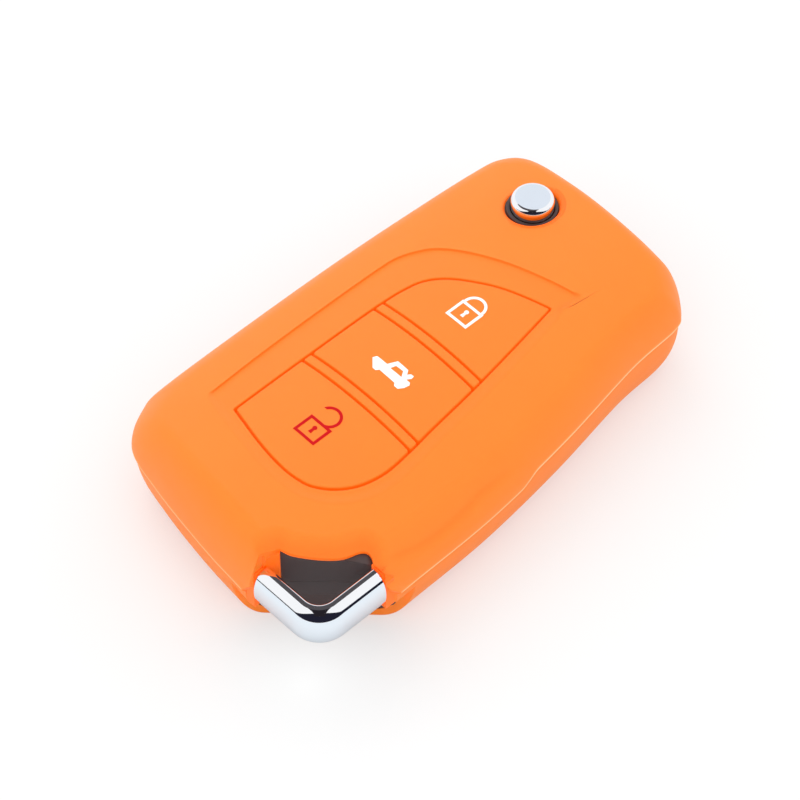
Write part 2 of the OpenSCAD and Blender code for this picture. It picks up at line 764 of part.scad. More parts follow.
module coin_cell() {
    color(chrome_colour) union() {
        post([cell_x, cell_y], cell_r, cell_low_z + cell_t / 6, cell_top_z);
        post([cell_x, cell_y], cell_r - tray_wall, cell_low_z, cell_low_z + cell_t / 4);
    }
}
module upper_contact() {
    color(brass_colour) post([cell_x, cell_y], cell_r * 0.7, cell_top_z, board_z);
}
module lower_contact() {
    leg_x = cell_x + cell_r + contact_t;
    color(brass_colour) union() {
        post([cell_x, cell_y], cell_r * 0.6, tray_floor_z, cell_low_z);
        block([cell_x, cell_y - tray_wall, tray_floor_z],
            [leg_x + contact_t, cell_y + tray_wall, cell_low_z]);
        block([leg_x, cell_y - tray_wall, tray_floor_z],
            [leg_x + contact_t, cell_y + tray_wall, board_z]);
    }
}
module module_tray() {
    color(rubber_colour) difference() {
        block([board_x0, board_y0, tray_low_z], [board_x1, board_y1, board_z]);
        block([board_x0 + tray_wall, board_y0 + tray_wall, tray_floor_z],
            [board_x1 - tray_wall, board_y1 - tray_wall, cover_h]);
    }
}
module transponder_chip() {
    color(rubber_colour) translate(chip_corner) cube(chip_size);
}

// The release button and the folding key

cap_angles = [0 : 15 : 75];
module release_button() {
    flat_r = cap_r - cap_dome_h;
    rim_z = cap_top_z - cap_dome_h;
    color(chrome_colour) translate([pivot_x, pivot_y, 0]) rotate_extrude() polygon(concat(
        [[0, flange_low_z], [flange_r, flange_low_z], [flange_r, flange_top_z],
            [cap_r, flange_top_z]],
        [for (a = cap_angles) [flat_r + cap_dome_h * cos(a), rim_z + cap_dome_h * sin(a)]],
        [[flat_r, cap_top_z], [0, cap_top_z]]));
}

spring_sides = 6;
spring_steps = 14;
module release_spring() {
    low = post_top_z + spring_wire_r;
    high = flange_low_z - spring_wire_r;
    m = spring_turns * spring_steps;
    rings = [for (j = [0 : m]) let (a = 360 * j / spring_steps)
        [for (k = [0 : spring_sides - 1])
            let (r = spring_r + spring_wire_r * cos(360 * k / spring_sides))
            [r * cos(a), r * sin(a),
                low + (high - low) * j / m + spring_wire_r * sin(360 * k / spring_sides)]]];
    n = spring_sides;
    walls = [for (j = [0 : m - 1]) for (k = [0 : n - 1])
        let (a = j * n + k, b = j * n + (k + 1) % n) each [[a, b, b + n], [a, b + n, a + n]]];
    first = [for (k = [0 : n - 1]) n - 1 - k];
    last = [for (k = [0 : n - 1]) m * n + k];
    color(steel_colour) translate([pivot_x, pivot_y, 0])
        polyhedron([for (r = rings) each r], concat(walls, [first, last]));
}
module hub_washer() {
    color(steel_colour) difference() {
        post(pivot, hub_r - case_wall, floor_z, floor_z + washer_t);
        post(pivot, post_r + face_gap, 0, cover_h);
    }
}
module blade_hub() {
    color(plastic_colour) translate([pivot_x, pivot_y, 0]) difference() {
        union() {
            post([0, 0], hub_r, hub_low_z, hub_top_z);
            translate([0, 0, split_z - arm_t / 2]) linear_extrude(arm_t)
                polygon([[0, -arm_reach], [-arm_side, -arm_reach], [-arm_side, arm_top - arm_bevel],
                    [arm_bevel - arm_side, arm_top], [0, arm_top]]);
        }
        post([0, 0], post_r + run_fit, 0, cover_h);
        post([0, 0], boss_r + run_fit, web_top_z, cover_h);
        block([-blade_offset - blade_half - face_gap, -overrun, split_z - blade_t / 2 - face_gap],
            [blade_half - blade_offset + face_gap, root_end + face_gap, split_z + blade_t / 2 + face_gap]);
        post(pin_at, pin_r + face_gap / 2, 0, cover_h);
    }
}
track_steps = 40;
module blade_track() {
    start = -arm_reach - blade_w / 3;
    run = blade_l - blade_w;
    wave = (blade_w - track_w) / 5;
    function track_x(t) = -blade_offset + wave * (sin(900 * t) + sin(1900 * t) / 2);
    polygon(concat(
        [for (k = [0 : track_steps]) [track_x(k / track_steps) - track_w / 2,
            start - run * k / track_steps]],
        [for (k = [track_steps : -1 : 0]) [track_x(k / track_steps) + track_w / 2,
            start - run * k / track_steps]]));
}
module key_blade() {
    tip = -arm_reach - blade_l;
    color(steel_colour) translate([pivot_x, pivot_y, split_z]) difference() {
        translate([-blade_offset, 0, -blade_t / 2]) linear_extrude(blade_t)
            polygon([[-blade_half, root_end], [-blade_half, tip + blade_half],
                [-blade_half / 3, tip], [blade_half / 3, tip],
                [blade_half, tip + blade_half], [blade_half, root_end]]);
        translate([0, 0, blade_t / 2 - track_depth]) linear_extrude(blade_t) blade_track();
        translate([0, 0, track_depth - blade_t / 2 - blade_t]) linear_extrude(blade_t) blade_track();
        post(pin_at, pin_r + face_gap / 2, -cover_h, cover_h);
    }
}
module blade_pin() {
    color(steel_colour) translate([pivot_x, pivot_y, 0])
        post(pin_at, pin_r, split_z - arm_t / 2, split_z + arm_t / 2);
}

cover_sleeve();
lock_pad();
trunk_pad();
unlock_pad();
lock_symbol();
trunk_symbol();
unlock_symbol();
upper_case();
lower_case();
case_screws();
corner_loop();
key_mat();
lock_key();
trunk_key();
unlock_key();
lock_switch();
trunk_switch();
unlock_switch();
lock_plunger();
trunk_plunger();
unlock_plunger();
circuit_board();
controller_chip();
quartz_can();
antenna_coil();
board_parts();
coin_cell();
upper_contact();
lower_contact();
module_tray();
transponder_chip();
release_button();
release_spring();
hub_washer();
blade_hub();
key_blade();
blade_pin();
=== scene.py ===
"""A soft silicone key fob cover fitted on a folding car key, dressed for its photograph.

Lengths are metres. X runs across the key, Y towards the release button, Z up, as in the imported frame.
"""

import json
import math

import bpy
import numpy as np
from bpy.props import FloatProperty, FloatVectorProperty, IntProperty, PointerProperty
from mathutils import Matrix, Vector


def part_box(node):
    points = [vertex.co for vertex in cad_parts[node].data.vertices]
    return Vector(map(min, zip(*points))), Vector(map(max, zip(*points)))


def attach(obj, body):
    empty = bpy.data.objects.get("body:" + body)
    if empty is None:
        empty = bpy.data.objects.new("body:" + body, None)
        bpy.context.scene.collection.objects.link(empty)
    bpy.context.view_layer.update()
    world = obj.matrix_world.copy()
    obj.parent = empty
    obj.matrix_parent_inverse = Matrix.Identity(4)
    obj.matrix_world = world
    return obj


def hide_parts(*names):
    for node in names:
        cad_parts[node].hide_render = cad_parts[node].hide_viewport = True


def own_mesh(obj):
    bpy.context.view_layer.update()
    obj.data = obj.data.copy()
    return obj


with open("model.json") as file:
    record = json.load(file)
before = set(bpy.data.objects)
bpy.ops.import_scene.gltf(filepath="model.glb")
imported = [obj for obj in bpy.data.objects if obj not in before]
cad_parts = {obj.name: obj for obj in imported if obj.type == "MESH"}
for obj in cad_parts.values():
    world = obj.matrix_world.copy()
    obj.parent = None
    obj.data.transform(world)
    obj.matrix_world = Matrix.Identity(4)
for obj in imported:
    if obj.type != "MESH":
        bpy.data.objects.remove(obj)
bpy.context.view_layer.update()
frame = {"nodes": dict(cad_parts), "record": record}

bl_info = {
    "name": "Key fob cover",
    "version": (1, 0, 0),
    "blender": (4, 5, 0),
    "location": "View3D > Sidebar > Key Cover",
    "description": "Builds the skin, pads, chrome and finishes of a silicone key fob cover",
    "category": "Add Mesh",
}

MM = 0.001
KEY_BODY = "key_case"
PAD_BODIES = {"lock": "lock_button", "trunk": "trunk_button", "unlock": "unlock_button"}

# Outline of the cover as shares of its half width and half length, clockwise from above
OUTLINE_SHARES = [
    (-0.98, -0.63), (-0.998, -0.188), (-0.996, 0.208), (-0.97, 0.553), (-0.934, 0.82),
    (-0.885, 0.933), (-0.721, 0.99), (-0.338, 0.986), (0.1, 0.974), (0.425, 0.964),
    (0.558, 0.951), (0.69, 0.893), (0.745, 0.826), (0.773, 0.601), (0.882, 0.213),
    (0.955, -0.175), (0.972, -0.529), (0.978, -0.805), (0.912, -0.948), (0.715, -0.998),
    (0.339, -0.978), (-0.077, -0.954), (-0.494, -0.913), (-0.79, -0.863), (-0.936, -0.751),
]
# Leaf-shaped panel of pads: its right side from the near corner, and its left side back again
PANEL_RIGHT_SHARES = [
    (-0.992, -0.884), (-0.667, -0.926), (-0.43, -0.955), (-0.15, -0.98), (0.15, -0.992),
    (0.38, -0.982), (0.58, -0.95), (0.787, -0.86), (0.935, -0.729), (1, -0.554),
    (0.968, -0.339), (0.917, -0.151), (0.824, 0.239), (0.704, 0.637), (0.583, 1),
]
PANEL_LEFT_SHARES = [
    (0.583, 1), (0, 0.899), (-0.361, 0.812), (-0.694, 0.707), (-0.88, 0.597), (-0.954, 0.47),
    (-0.986, 0.322), (-1, 0.1), (-1, -0.5), (-0.992, -0.884),
]
DISH_LEFT_SHARES = [
    (0.42, 1.1), (0.388, 1.126), (0.041, 1.054), (-0.259, 0.983), (-0.559, 0.895),
    (-0.753, 0.816), (-0.847, 0.744), (-0.935, 0.627), (-0.959, 0.48), (-0.965, 0.069),
    (-0.953, -0.426), (-0.924, -0.832),
]
# Thin edge of the skin over the loop, from the loop's inner corner, as shares of an arm
BITE_SHARES = [
    (-0.8, -0.06), (-0.775, -0.01), (-0.748, 0.053), (-0.743, 0.09), (-0.725, 0.122),
    (-0.689, 0.138), (-0.625, 0.165), (-0.568, 0.208), (-0.506, 0.265), (-0.427, 0.346),
    (-0.355, 0.431), (-0.289, 0.524), (-0.249, 0.601), (-0.225, 0.675), (-0.21, 0.74),
    (-0.19, 0.797), (-0.157, 0.841), (-0.113, 0.857), (-0.065, 0.846), (-0.02, 0.818),
    (0.02, 0.8), (0.08, 0.798),
]
# Middle of each key under its pad, as shares of the panel's half sizes
KEY_SHARES = {"lock": (-0.079, 0.578), "trunk": (-0.046, -0.03), "unlock": (-0.032, -0.68)}
# Parting line: its level on the left, on the near and on the far right, and the jog between them
SEAM_BACK, SEAM_LOW, SEAM_HIGH = 9.0 * MM, 8.7 * MM, 9.9 * MM
SEAM_JOG, SEAM_JOG_HALF = 0.6 * MM, 2.0 * MM
# Thumb scoop: y and level of its line, y and share of its ends, reach under and over the line
SCOOP_LINE = np.array([(-27, 14.6), (-23.4, 13.7), (-20.1, 13.0), (-16.5, 12.7), (-12.5, 12.9),
                       (-8.3, 13.35), (-4.3, 13.3), (-0.2, 13.1)]) * MM
SCOOP_ENDS = np.array([(-27, 0), (-23, 1), (-9, 1), (1, 0)]) * (MM, 1)
SCOOP_FOOT, SCOOP_HEAD = 0.45 * MM, 3.0 * MM
# Dish: the painted light of its floor and of the pads' tops, a little deeper colour and a faint painted
# glow, and where its crisp step ends, from the panel's middle in x and at a y
DISH_TONE = 0.2
CRISP_RIGHT, CRISP_NEAR = 7.4 * MM, -24.7 * MM
# Half the width of the key's head at its end, the level where the case is split, and the share
# of the spring's length that is left when the release button is down
HEAD_HALF, SPLIT_LEVEL, PRESSED_SHARE = 5.576 * MM, 9.5 * MM, 0.71
# Middle of the painted pool of light on the floor, and of the cards that the loop mirrors
PAINTED_POOL_PLACE, LOOP_EYE = (0.021, -0.04, 0), (0.016, -0.036, 0.014)


def number(name, description, default, **more):
    """A number from 0 up, unless the settings given last say otherwise."""
    return FloatProperty(name=name, description=description, default=default,
                         **{"min": 0, "precision": 5, **more})


def length(name, description, default):
    """A length whose default is given in millimetres."""
    return number(name, description, default * MM, unit="LENGTH")


def place(name, description, default):
    return FloatVectorProperty(name=name, description=description, default=default, size=3,
                               unit="LENGTH", precision=5)


def colour(name, description, default):
    return FloatVectorProperty(name=name, description=description, default=default, size=3,
                               min=0, max=1, subtype="COLOR")


class CoverSizes(bpy.types.PropertyGroup):
    """Sizes of the silicone skin"""

    width: length("Width", "Width of the cover", 48)
    depth: length("Length", "Length of the cover", 81)
    crest: length("Crest", "Height of the crest", 19.3)
    crest_x: length("Crest place", "Distance of the crest from the middle", 0.5)
    crown_drop: length("Crown", "Drop of the bowed top from its middle to its sides", 6.05)
    waist: length("Waist", "Height of the widest level", 9)
    upper_round: length("Upper rounding", "Reach of the rounding along the upper edge", 4.4)
    lower_round: length("Lower rounding", "Reach of the rounding along the lower edge", 4)
    wall: length("Side wall", "Thickness of the silicone at the sides", 1.3)
    top_wall: length("Top wall", "Thickness of the silicone on top", 1.9)
    seam_proud: length("Seam", "How far the parting line stands proud", 0.16)
    seam_width: length("Seam width", "Width of the parting line", 0.4)
    seam_step: length("Seam step", "How far the lower half stands back", 0.35)
    taper_width: length("Taper width", "Width of the taper to the thin edge over the loop", 2.4)
    taper_depth: length("Taper depth", "How far the top comes down at that edge", 1.45)
    scoop_depth: length("Scoop", "Depth of the thumb scoop in the right flank", 0.3)
    around: IntProperty(name="Columns", description="Columns round the cover", default=560, min=60)


class PadSizes(bpy.types.PropertyGroup):
    """Sizes of the panel of pads and its dish"""

    left: length("Left", "From the left side of the cover to the panel", 14.8)
    right: length("Right", "From the right side to the panel", 11.6)
    near: length("Near", "From the near end to the panel", 13.25)
    far: length("Far", "From the far end to the panel", 22.05)
    dish_depth: length("Dish depth", "Depth of the shallow dish", 0.3)
    dish_margin: length("Dish margin", "Width of the dish at the left of the panel", 5.06)
    dish_rim: length("Dish rim", "Width of the dish at the other edges", 1)
    crisp_edge: length("Crisp edge", "Width of the step on the dish's left side", 0.16)
    soft_edge: length("Soft edge", "Width of the slope on its other sides", 1.5)
    thickness: length("Thickness", "Thickness of a pad", 0.8)
    gap: length("Groove", "Width of the groove round a pad", 0.34)
    strip: length("Strip", "Width of the strip between two pads", 1.68)
    middle_length: length("Middle pad", "Length of the middle pad", 11.63)
    middle_shift: number("Middle pad shift", "From the panel's middle to the middle pad's",
                         -0.35 * MM, min=-5 * MM, unit="LENGTH")
    pocket: length("Pocket", "Depth of the pocket's floor under the top face", 1.64)
    edge_round: length("Edge rounding", "Rounding along the edges of the groove", 0.16)
    nub_radius: length("Nub", "Radius of the nub under a pad", 1.612)


class LoopSizes(bpy.types.PropertyGroup):
    """Sizes of the chromed corner loop and of the opening round it"""

    bar_width: length("Width", "Width of the bar from above", 2.8)
    bar_height: length("Height", "Height of the bar", 6.76)
    bar_level: length("Level", "Height of the middle of the bar", 10.37)
    side_gap: length("Side gap", "From the cover's side to the bar", 0.8)
    end_gap: length("End gap", "From the cover's end to the bar", 0.95)
    corner: length("Corner", "Radius of the outer corner", 5)
    arm: length("Arm", "Length of an arm outside the case", 12.3)
    slant_gap: length("Slant gap", "From the arms to the slanted wall", 0.75)
    step_in: length("Step in", "How far the body stands back under the loop", 1.5)
    flare: length("Flare", "How far the opening widens outwards at the loop's ends", 0.85)
    lip_gap: length("Lip gap", "From the loop to the lip under it", 0.2)
    tongue: length("Tongue", "Length of a tongue in the case", 6)
    tongue_height: length("Tongue height", "Height of a tongue", 3.4)
    tongue_thickness: length("Tongue thickness", "Thickness of a tongue", 1.2)


class CapSizes(bpy.types.PropertyGroup):
    """Sizes of the chromed release button and of the pivot and the spring under it"""

    side: length("From the side", "From the left side of the cover to the pivot", 16.8)
    end: length("From the end", "From the far end of the cover to the pivot", 10.5)
    radius: length("Radius", "Radius of the cap", 3.13)
    edge: length("Edge", "Reach of the rounding of the cap's edge", 0.8)
    edge_height: length("Edge height", "Height of the rounding of the cap's edge", 0.95)
    dome: length("Dome", "Rise of the cap's top face", 0.1)
    hole: length("Hole", "Radius of the hole in the cover", 3.82)
    spring_wire: length("Spring wire", "Radius of the spring's wire", 0.28)
    spring_turns: IntProperty(name="Spring turns", description="Turns of the spring's wire",
                              default=5, min=1)
    # Reach of the painted shade and painted glow round the button's hole
    glow: length("Glow", "Width of the thin silicone's deeper colour round the hole", 0.9)
    flange: length("Flange", "Thickness of the flange that holds the cap", 1.2)


class FinishColours(bpy.types.PropertyGroup):
    """Colours of the finishes"""

    silicone: colour("Silicone", "Orange of the silicone", (1.0, 0.238, 0.0145))
    silicone_deep: colour("Silicone shade", "Deeper orange of its mottling", (1.0, 0.222, 0.013))
    # Painted shade: deeper red orange in grooves, creases and openings, and for light through thin edges
    silicone_painted_shade: colour("Thin silicone", "Red orange of grooves and thin edges",
                          (1.0, 0.135, 0.003))
    # Painted glow: light that the silicone emits where its painted light is over 0
    silicone_painted_glow: colour("Glow", "Light that comes through thin silicone", (0.3, 0.05, 0.0))
    # Painted highlight: paler orange along the parting line
    silicone_painted_highlight: colour("Parting line", "Pale orange of the parting line", (1.0, 0.74, 0.4))
    ink_white: colour("White ink", "Ink of the closed padlock and the car", (1.0, 1.0, 1.0))
    ink_red: colour("Red ink", "Ink of the open padlock", (0.62, 0.0, 0.003))
    plastic: colour("Case plastic", "Brownish black of the case", (0.06, 0.038, 0.037))
    chrome: colour("Chrome", "Tint of the chrome", (0.93, 0.94, 0.97))
    steel: colour("Steel", "Tint of the steel", (0.55, 0.56, 0.57))
    rubber: colour("Rubber", "Black of the rubber", (0.02, 0.02, 0.022))
    resin: colour("Resin", "Black of the moulded resin", (0.014, 0.014, 0.016))
    board: colour("Board", "Green of the laminate", (0.012, 0.14, 0.05))
    brass: colour("Brass", "Tint of the contacts", (0.6, 0.38, 0.12))
    natural: colour("Natural plastic", "Natural white of the plungers", (0.5, 0.48, 0.42))


class StageSettings(bpy.types.PropertyGroup):
    """Floor, light and camera of the photograph"""

    camera_place: place("Camera", "Place of the camera", (0.210955, -0.203877, 0.369367))
    camera_target: place("Target", "Point in the middle of the view", (0.005609, -0.007995, 0.019))
    lens: number("Lens", "Focal length on a 36 mm sensor", 151.38, min=20)
    floor_size: length("Floor", "Width of the floor", 3000)
    sky: number("Sky", "Strength of the light from all round", 1.12)
    key_power: number("Key light", "Power of the main lamp", 0.5, unit="POWER")
    fill_power: number("Fill light", "Power of the second lamp", 0.15, unit="POWER")
    lift: number("Lift", "Share of plain white in the floor as seen", 0.42, max=1)
    # The pool is light painted on the floor for the camera
    painted_pool_radius: length("Pool", "Radius of the paler pool of light under the loop", 22)


GROUPS = {"key_cover": CoverSizes, "key_pads": PadSizes, "key_loop": LoopSizes,
          "key_cap": CapSizes, "key_finish": FinishColours, "key_stage": StageSettings}


def sizes(context):
    """The scene's groups of sizes: cover, pads, loop and cap."""
    s = context.scene
    return s.key_cover, s.key_pads, s.key_loop, s.key_cap


# Lines


def smooth_line(points, steps, closed=False):
    """A smooth line through points: between two of them each coordinate is the cubic whose slope at
    either end is half the chord between the neighbours of that end."""
    p = np.asarray(points, float)
    if closed:
        a, b, c, d = (np.roll(p, k, 0) for k in (1, 0, -1, -2))
    else:
        e = np.vstack([p[:1], p, p[-1:]])
        a, b, c, d = e[:-3], e[1:-2], e[2:-1], e[3:]
    t = (np.arange(steps) / steps)[None, :, None]
    a, b, c, d = (q[:, None] for q in (a, b, c, d))
    line = b + ((c - a) * t + (2 * a - 5 * b + 4 * c - d) * t**2 + (3 * b - a - 3 * c + d) * t**3) / 2
    line = line.reshape(-1, p.shape[1])
    return line if closed else np.vstack([line, p[-1:]])


def even_loop(line, count):
    """A closed line cut at equal lengths along itself."""
    closed = np.vstack([line, line[:1]])
    run = np.concatenate([[0], np.cumsum(np.linalg.norm(np.diff(closed, axis=0), axis=1))])
    at = np.arange(count) / count * run[-1]
    return np.stack([np.interp(at, run, closed[:, k]) for k in (0, 1)], 1)


def softened(line, passes):
    """A closed line with rounded corners: each pass moves a point halfway to the middle of its
    two neighbours."""
    for _ in range(passes):
        line = line / 2 + (np.roll(line, 1, 0) + np.roll(line, -1, 0)) / 4
    return line


def outward(line):
    """Mitred outward directions of an anticlockwise closed line: the sum of the normals of the two
    edges at a point, over one plus their dot product."""
    ahead = np.roll(line, -1, 0) - line
    ahead = ahead / np.maximum(np.linalg.norm(ahead, axis=1, keepdims=True), 1e-12)
    normal = np.stack([ahead[:, 1], -ahead[:, 0]], 1)
    before = np.roll(normal, 1, 0)
    return (normal + before) / (1 + np.maximum((normal * before).sum(1, keepdims=True), -0.5))


def by_angle(line, centre, scale, angles):
    """Points of a closed line that is seen once in each direction from a centre: its x and y as
    functions of the angle of ((x, y) - centre) / scale, read at the given angles."""
    rel = (line - centre) / scale
    theta = np.unwrap(np.arctan2(rel[:, 1], rel[:, 0]))
    order = np.argsort(theta)
    theta, line = theta[order], line[order]
    turn = 2 * math.pi
    around = np.concatenate([theta - turn, theta, theta + turn])
    thrice = np.vstack([line, line, line])
    wrapped = theta[0] + np.mod(angles - theta[0], turn)
    return np.stack([np.interp(wrapped, around, thrice[:, k]) for k in (0, 1)], 1)


def ramp(t):
    """Smooth step: 3 t squared minus 2 t cubed, with t held between 0 and 1."""
    t = np.clip(t, 0, 1)
    return t * t * (3 - 2 * t)


def bell(t):
    """Bell curve: e to the minus t squared."""
    return np.exp(-(t**2))


def circle(centre, radius, count):
    """Anticlockwise circle: centre plus the radius times the cosine and sine of the angle."""
    a = np.arange(count) / count * 2 * math.pi
    return np.asarray(centre) + radius * np.stack([np.cos(a), np.sin(a)], 1)


def rounded_shape(points, count, passes=1):
    """Even closed line through points, softened at its corners."""
    return softened(even_loop(np.asarray(points, float), count), passes)


# The shape of the cover


def crown(cover, x, drop):
    """Height of the bowed top at x, lowered by a drop: a circle's arc across the cover whose radius
    is (half width squared + crown drop squared) over twice the crown drop."""
    half = cover.width / 2
    radius = (half**2 + cover.crown_drop**2) / (2 * cover.crown_drop)
    return cover.crest - drop - radius + np.sqrt(radius**2 - (x - cover.crest_x) ** 2)


def on_crown(cover, plan, drop):
    """A ring in plan laid on the crown, lowered by a drop."""
    return np.column_stack([plan, crown(cover, plan[:, 0], drop)])


def flank(cover, outline, s, side=0.0, drop=0.0, base=0.0):
    """Points of the cover's sides. outline is shares of the half sizes, s runs from -1 at the base
    over 0 at the waist to 1 at the top: the inset from the waist is the rounding's reach times
    1 - cos(90 s), and the height leaves the waist by the rise or fall times sin(90 s)."""
    angle = s * math.pi / 2
    reach = np.where(s < 0, cover.lower_round, cover.upper_round) - side / 2
    inset = side + reach * (1 - np.cos(angle))
    x = outline[..., 0] * (cover.width / 2 - inset)
    y = outline[..., 1] * (cover.depth / 2 - inset)
    rise = np.where(s < 0, cover.waist - base, crown(cover, x, drop) - cover.waist)
    return np.stack([x, y, cover.waist + rise * np.sin(angle)], -1)


def at_level(cover, outline, z):
    """The s of flank() at a height z: the arc sine of the share of the rise or the fall."""
    top = crown(cover, outline[:, 0] * cover.width / 2, 0)
    span = np.where(z < cover.waist, cover.waist, top - cover.waist)
    return np.arcsin(np.clip((z - cover.waist) / span, -1, 1)) / (math.pi / 2)


def seam_level(place):
    """Height of the parting line: higher on the far right flank, with a smooth jog down to a lower
    level towards the loop, and level on the left."""
    right = ramp((place[:, 0] + 4 * MM) / (8 * MM))
    up = ramp((place[:, 1] - SEAM_JOG + SEAM_JOG_HALF) / (2 * SEAM_JOG_HALF))
    return SEAM_BACK + right * (SEAM_LOW - SEAM_BACK + up * (SEAM_HIGH - SEAM_LOW))


def scoop_place(points):
    """Height of points over the line of the thumb scoop in the right flank, and the share of the
    scoop that is left at their y."""
    level, fade = (np.interp(points[..., 1], *line.T) for line in (SCOOP_LINE, SCOOP_ENDS))
    return points[..., 2] - level, ramp(fade) * (points[..., 0] > 0)


def scoop(cover, points):
    """Depth of the scoop: full along its line, a short bell curve under it, a long one over it."""
    over, share = scoop_place(points)
    return cover.scoop_depth * bell(over / np.where(over < 0, SCOOP_FOOT, SCOOP_HEAD)) * share


def crease(points):
    """Painted shade in the crease at the foot of the scoop, as how deep the colour is there: a bell curve
    of the height.
    """
    over, share = scoop_place(points)
    return bell(over / SCOOP_FOOT) * share


def loop_frame(cover, loop):
    """Where things are round the loop: its inner corner, where the opening ends in x behind its
    left end and in y behind its right end, the inner sides of the walls there, and the levels of
    the lip under it and of the lap over it."""
    corner = np.array([cover.width / 2 - loop.side_gap - loop.bar_width,
                       loop.end_gap + loop.bar_width - cover.depth / 2])
    reach = loop.arm - loop.bar_width + loop.bar_width / 8
    ends = corner[0] - reach, corner[1] + reach
    walls = cover.width / 2 - cover.wall, cover.wall - cover.depth / 2
    rise = loop.bar_height / 2 + loop.lip_gap
    return corner, ends, walls, (loop.bar_level - rise, loop.bar_level + rise)


def bite_line(cover, loop):
    """The thin edge of the skin over the loop, in plan."""
    return loop_frame(cover, loop)[0] + loop.arm * smooth_line(BITE_SHARES, 10)


def bite_rest(cover, loop):
    """The rest of the cut over the loop, in plan: along the flared ends of the opening and round
    outside the cover."""
    _, (x0, y0), (wall_x, wall_y), _ = loop_frame(cover, loop)
    out = cover.depth
    return [(wall_x, y0), (wall_x + cover.wall, y0 + loop.flare), (out, y0 + loop.flare), (out, -out),
            (x0 - loop.flare, -out), (x0 - loop.flare, wall_y - cover.wall), (x0, wall_y)]


def from_bite(cover, loop, plan):
    """Shortest distance in plan from points to the thin edge over the loop, and 0 for a point in
    the cut: one from which a ray to the right crosses its edges an odd number of times."""
    line = bite_line(cover, loop)
    far = np.linalg.norm(plan[..., None, :] - line, axis=-1).min(-1)
    a = np.vstack([line, bite_rest(cover, loop)])
    b = np.roll(a, -1, 0)
    x, y = plan[..., None, 0], plan[..., None, 1]
    spans = (a[:, 1] > y) != (b[:, 1] > y)
    with np.errstate(divide="ignore", invalid="ignore"):
        at = a[:, 0] + (y - a[:, 1]) / (b[:, 1] - a[:, 1]) * (b[:, 0] - a[:, 0])
    inside = (spans & (x < at)).sum(-1) % 2 == 1
    return np.where(inside, 0, far)


def by_loop(cover, loop, plan):
    """Which points in plan lie near the loop."""
    return np.abs(plan - loop_frame(cover, loop)[0]).max(-1) < 1.6 * loop.arm


def panel_frame(cover, pads):
    """Middle and half sizes of the leaf-shaped panel."""
    centre = np.array([(pads.left - pads.right) / 2, (pads.near - pads.far) / 2])
    half = np.array([cover.width - pads.left - pads.right, cover.depth - pads.near - pads.far]) / 2
    return centre, half


def leaf(cover, pads, left_shares, margin, room):
    """Closed outline of the panel or of its dish: the right and the left line of shares, each
    scaled by the panel's half sizes with a margin or room added."""
    centre, half = panel_frame(cover, pads)
    right = smooth_line(PANEL_RIGHT_SHARES, 12) * (half + room)
    left = smooth_line(left_shares, 12) * (half + (margin + room, room))
    return centre + np.vstack([right, left])


def pad_levels(cover, pads):
    """Lowest and highest y of each pad and of the two strips."""
    centre, half = panel_frame(cover, pads)
    middle = centre[1] + pads.middle_shift
    inner, outer = pads.middle_length / 2, pads.middle_length / 2 + pads.strip
    ends = 2 * half[1]
    return {"lock": (middle + outer, ends), "trunk": (middle - inner, middle + inner),
            "unlock": (-ends, middle - outer), "far_strip": (middle + inner, middle + outer),
            "near_strip": (middle - outer, middle - inner)}


def pivot_of(cover, cap):
    """Place of the blade's pivot and of the release button, in plan."""
    return np.array([cap.side - cover.width / 2, cover.depth / 2 - cap.end])


# Meshes


def grid_faces(rings, columns):
    """Quads of a closed tube of rings, each ring's points joined to the next ring's."""
    j, i = np.meshgrid(np.arange(rings - 1), np.arange(columns), indexing="ij")
    a, b = j * columns + i, j * columns + (i + 1) % columns
    return np.stack([a, b, b + columns, a + columns], -1).reshape(-1, 4)


def bare(rings, quads):
    """A part of quads alone, with no painted light."""
    return rings.reshape(-1, 3), quads, np.zeros((0, 3), int), np.zeros(rings[..., 0].size)


def closed_tube(rings, painted_lights=0.0):
    """Vertices, faces and painted light of rings of points, an array (rings, columns, 3), closed at each
    end by a fan to the middle of that end's ring. Rings run anticlockwise seen from the last
    ring's side. The painted light is one for each ring, one for each point, or one for all."""
    m, n, _ = rings.shape
    rows = np.broadcast_to(np.reshape(painted_lights, (-1, 1)) if np.ndim(painted_lights) == 1 else painted_lights, (m, n))
    verts = np.vstack([rings.reshape(-1, 3), rings[0].mean(0), rings[-1].mean(0)])
    i = np.arange(n)
    after = (i + 1) % n
    low = np.stack([after, i, np.full(n, m * n)], -1)
    high = np.stack([(m - 1) * n + i, (m - 1) * n + after, np.full(n, m * n + 1)], -1)
    painted_lights = np.concatenate([rows.ravel(), [rows[0].mean(), rows[-1].mean()]])
    return verts, grid_faces(m, n), np.vstack([low, high]), painted_lights


def column(line, rows):
    """Closed solid over an anticlockwise line: rows of (distance outwards, height, painted light), the
    first two one number or one for each point, and the painted light 1, full painted shade and glow,
    where it is left out."""
    out = outward(line)
    rings = [np.column_stack([line + out * np.reshape(row[0], (-1, 1)),
                              np.broadcast_to(row[1], len(line))]) for row in rows]
    return closed_tube(np.array(rings), np.array([row[2] if len(row) > 2 else 1.0 for row in rows]))


def turned(pivot, rows, around=120):
    """Rings of a turned shape, one for each row (distance from the pivot, height)."""
    return np.array([np.column_stack([circle(pivot, r, around), np.full(around, z)]) for r, z in rows])


def merged(*parts):
    """Several (verts, quads, triangles, painted light) in one, each part's indices moved past those
    before it."""
    start = np.cumsum([0] + [len(p[0]) for p in parts[:-1]])
    return (np.vstack([p[0] for p in parts]),
            *(np.vstack([p[k] + s for p, s in zip(parts, start)]) for k in (1, 2)),
            np.concatenate([p[3] for p in parts]))


def reversed_faces(part):
    """The same surface with its faces turned over."""
    return part[0], part[1][:, ::-1], part[2][:, ::-1], part[3]


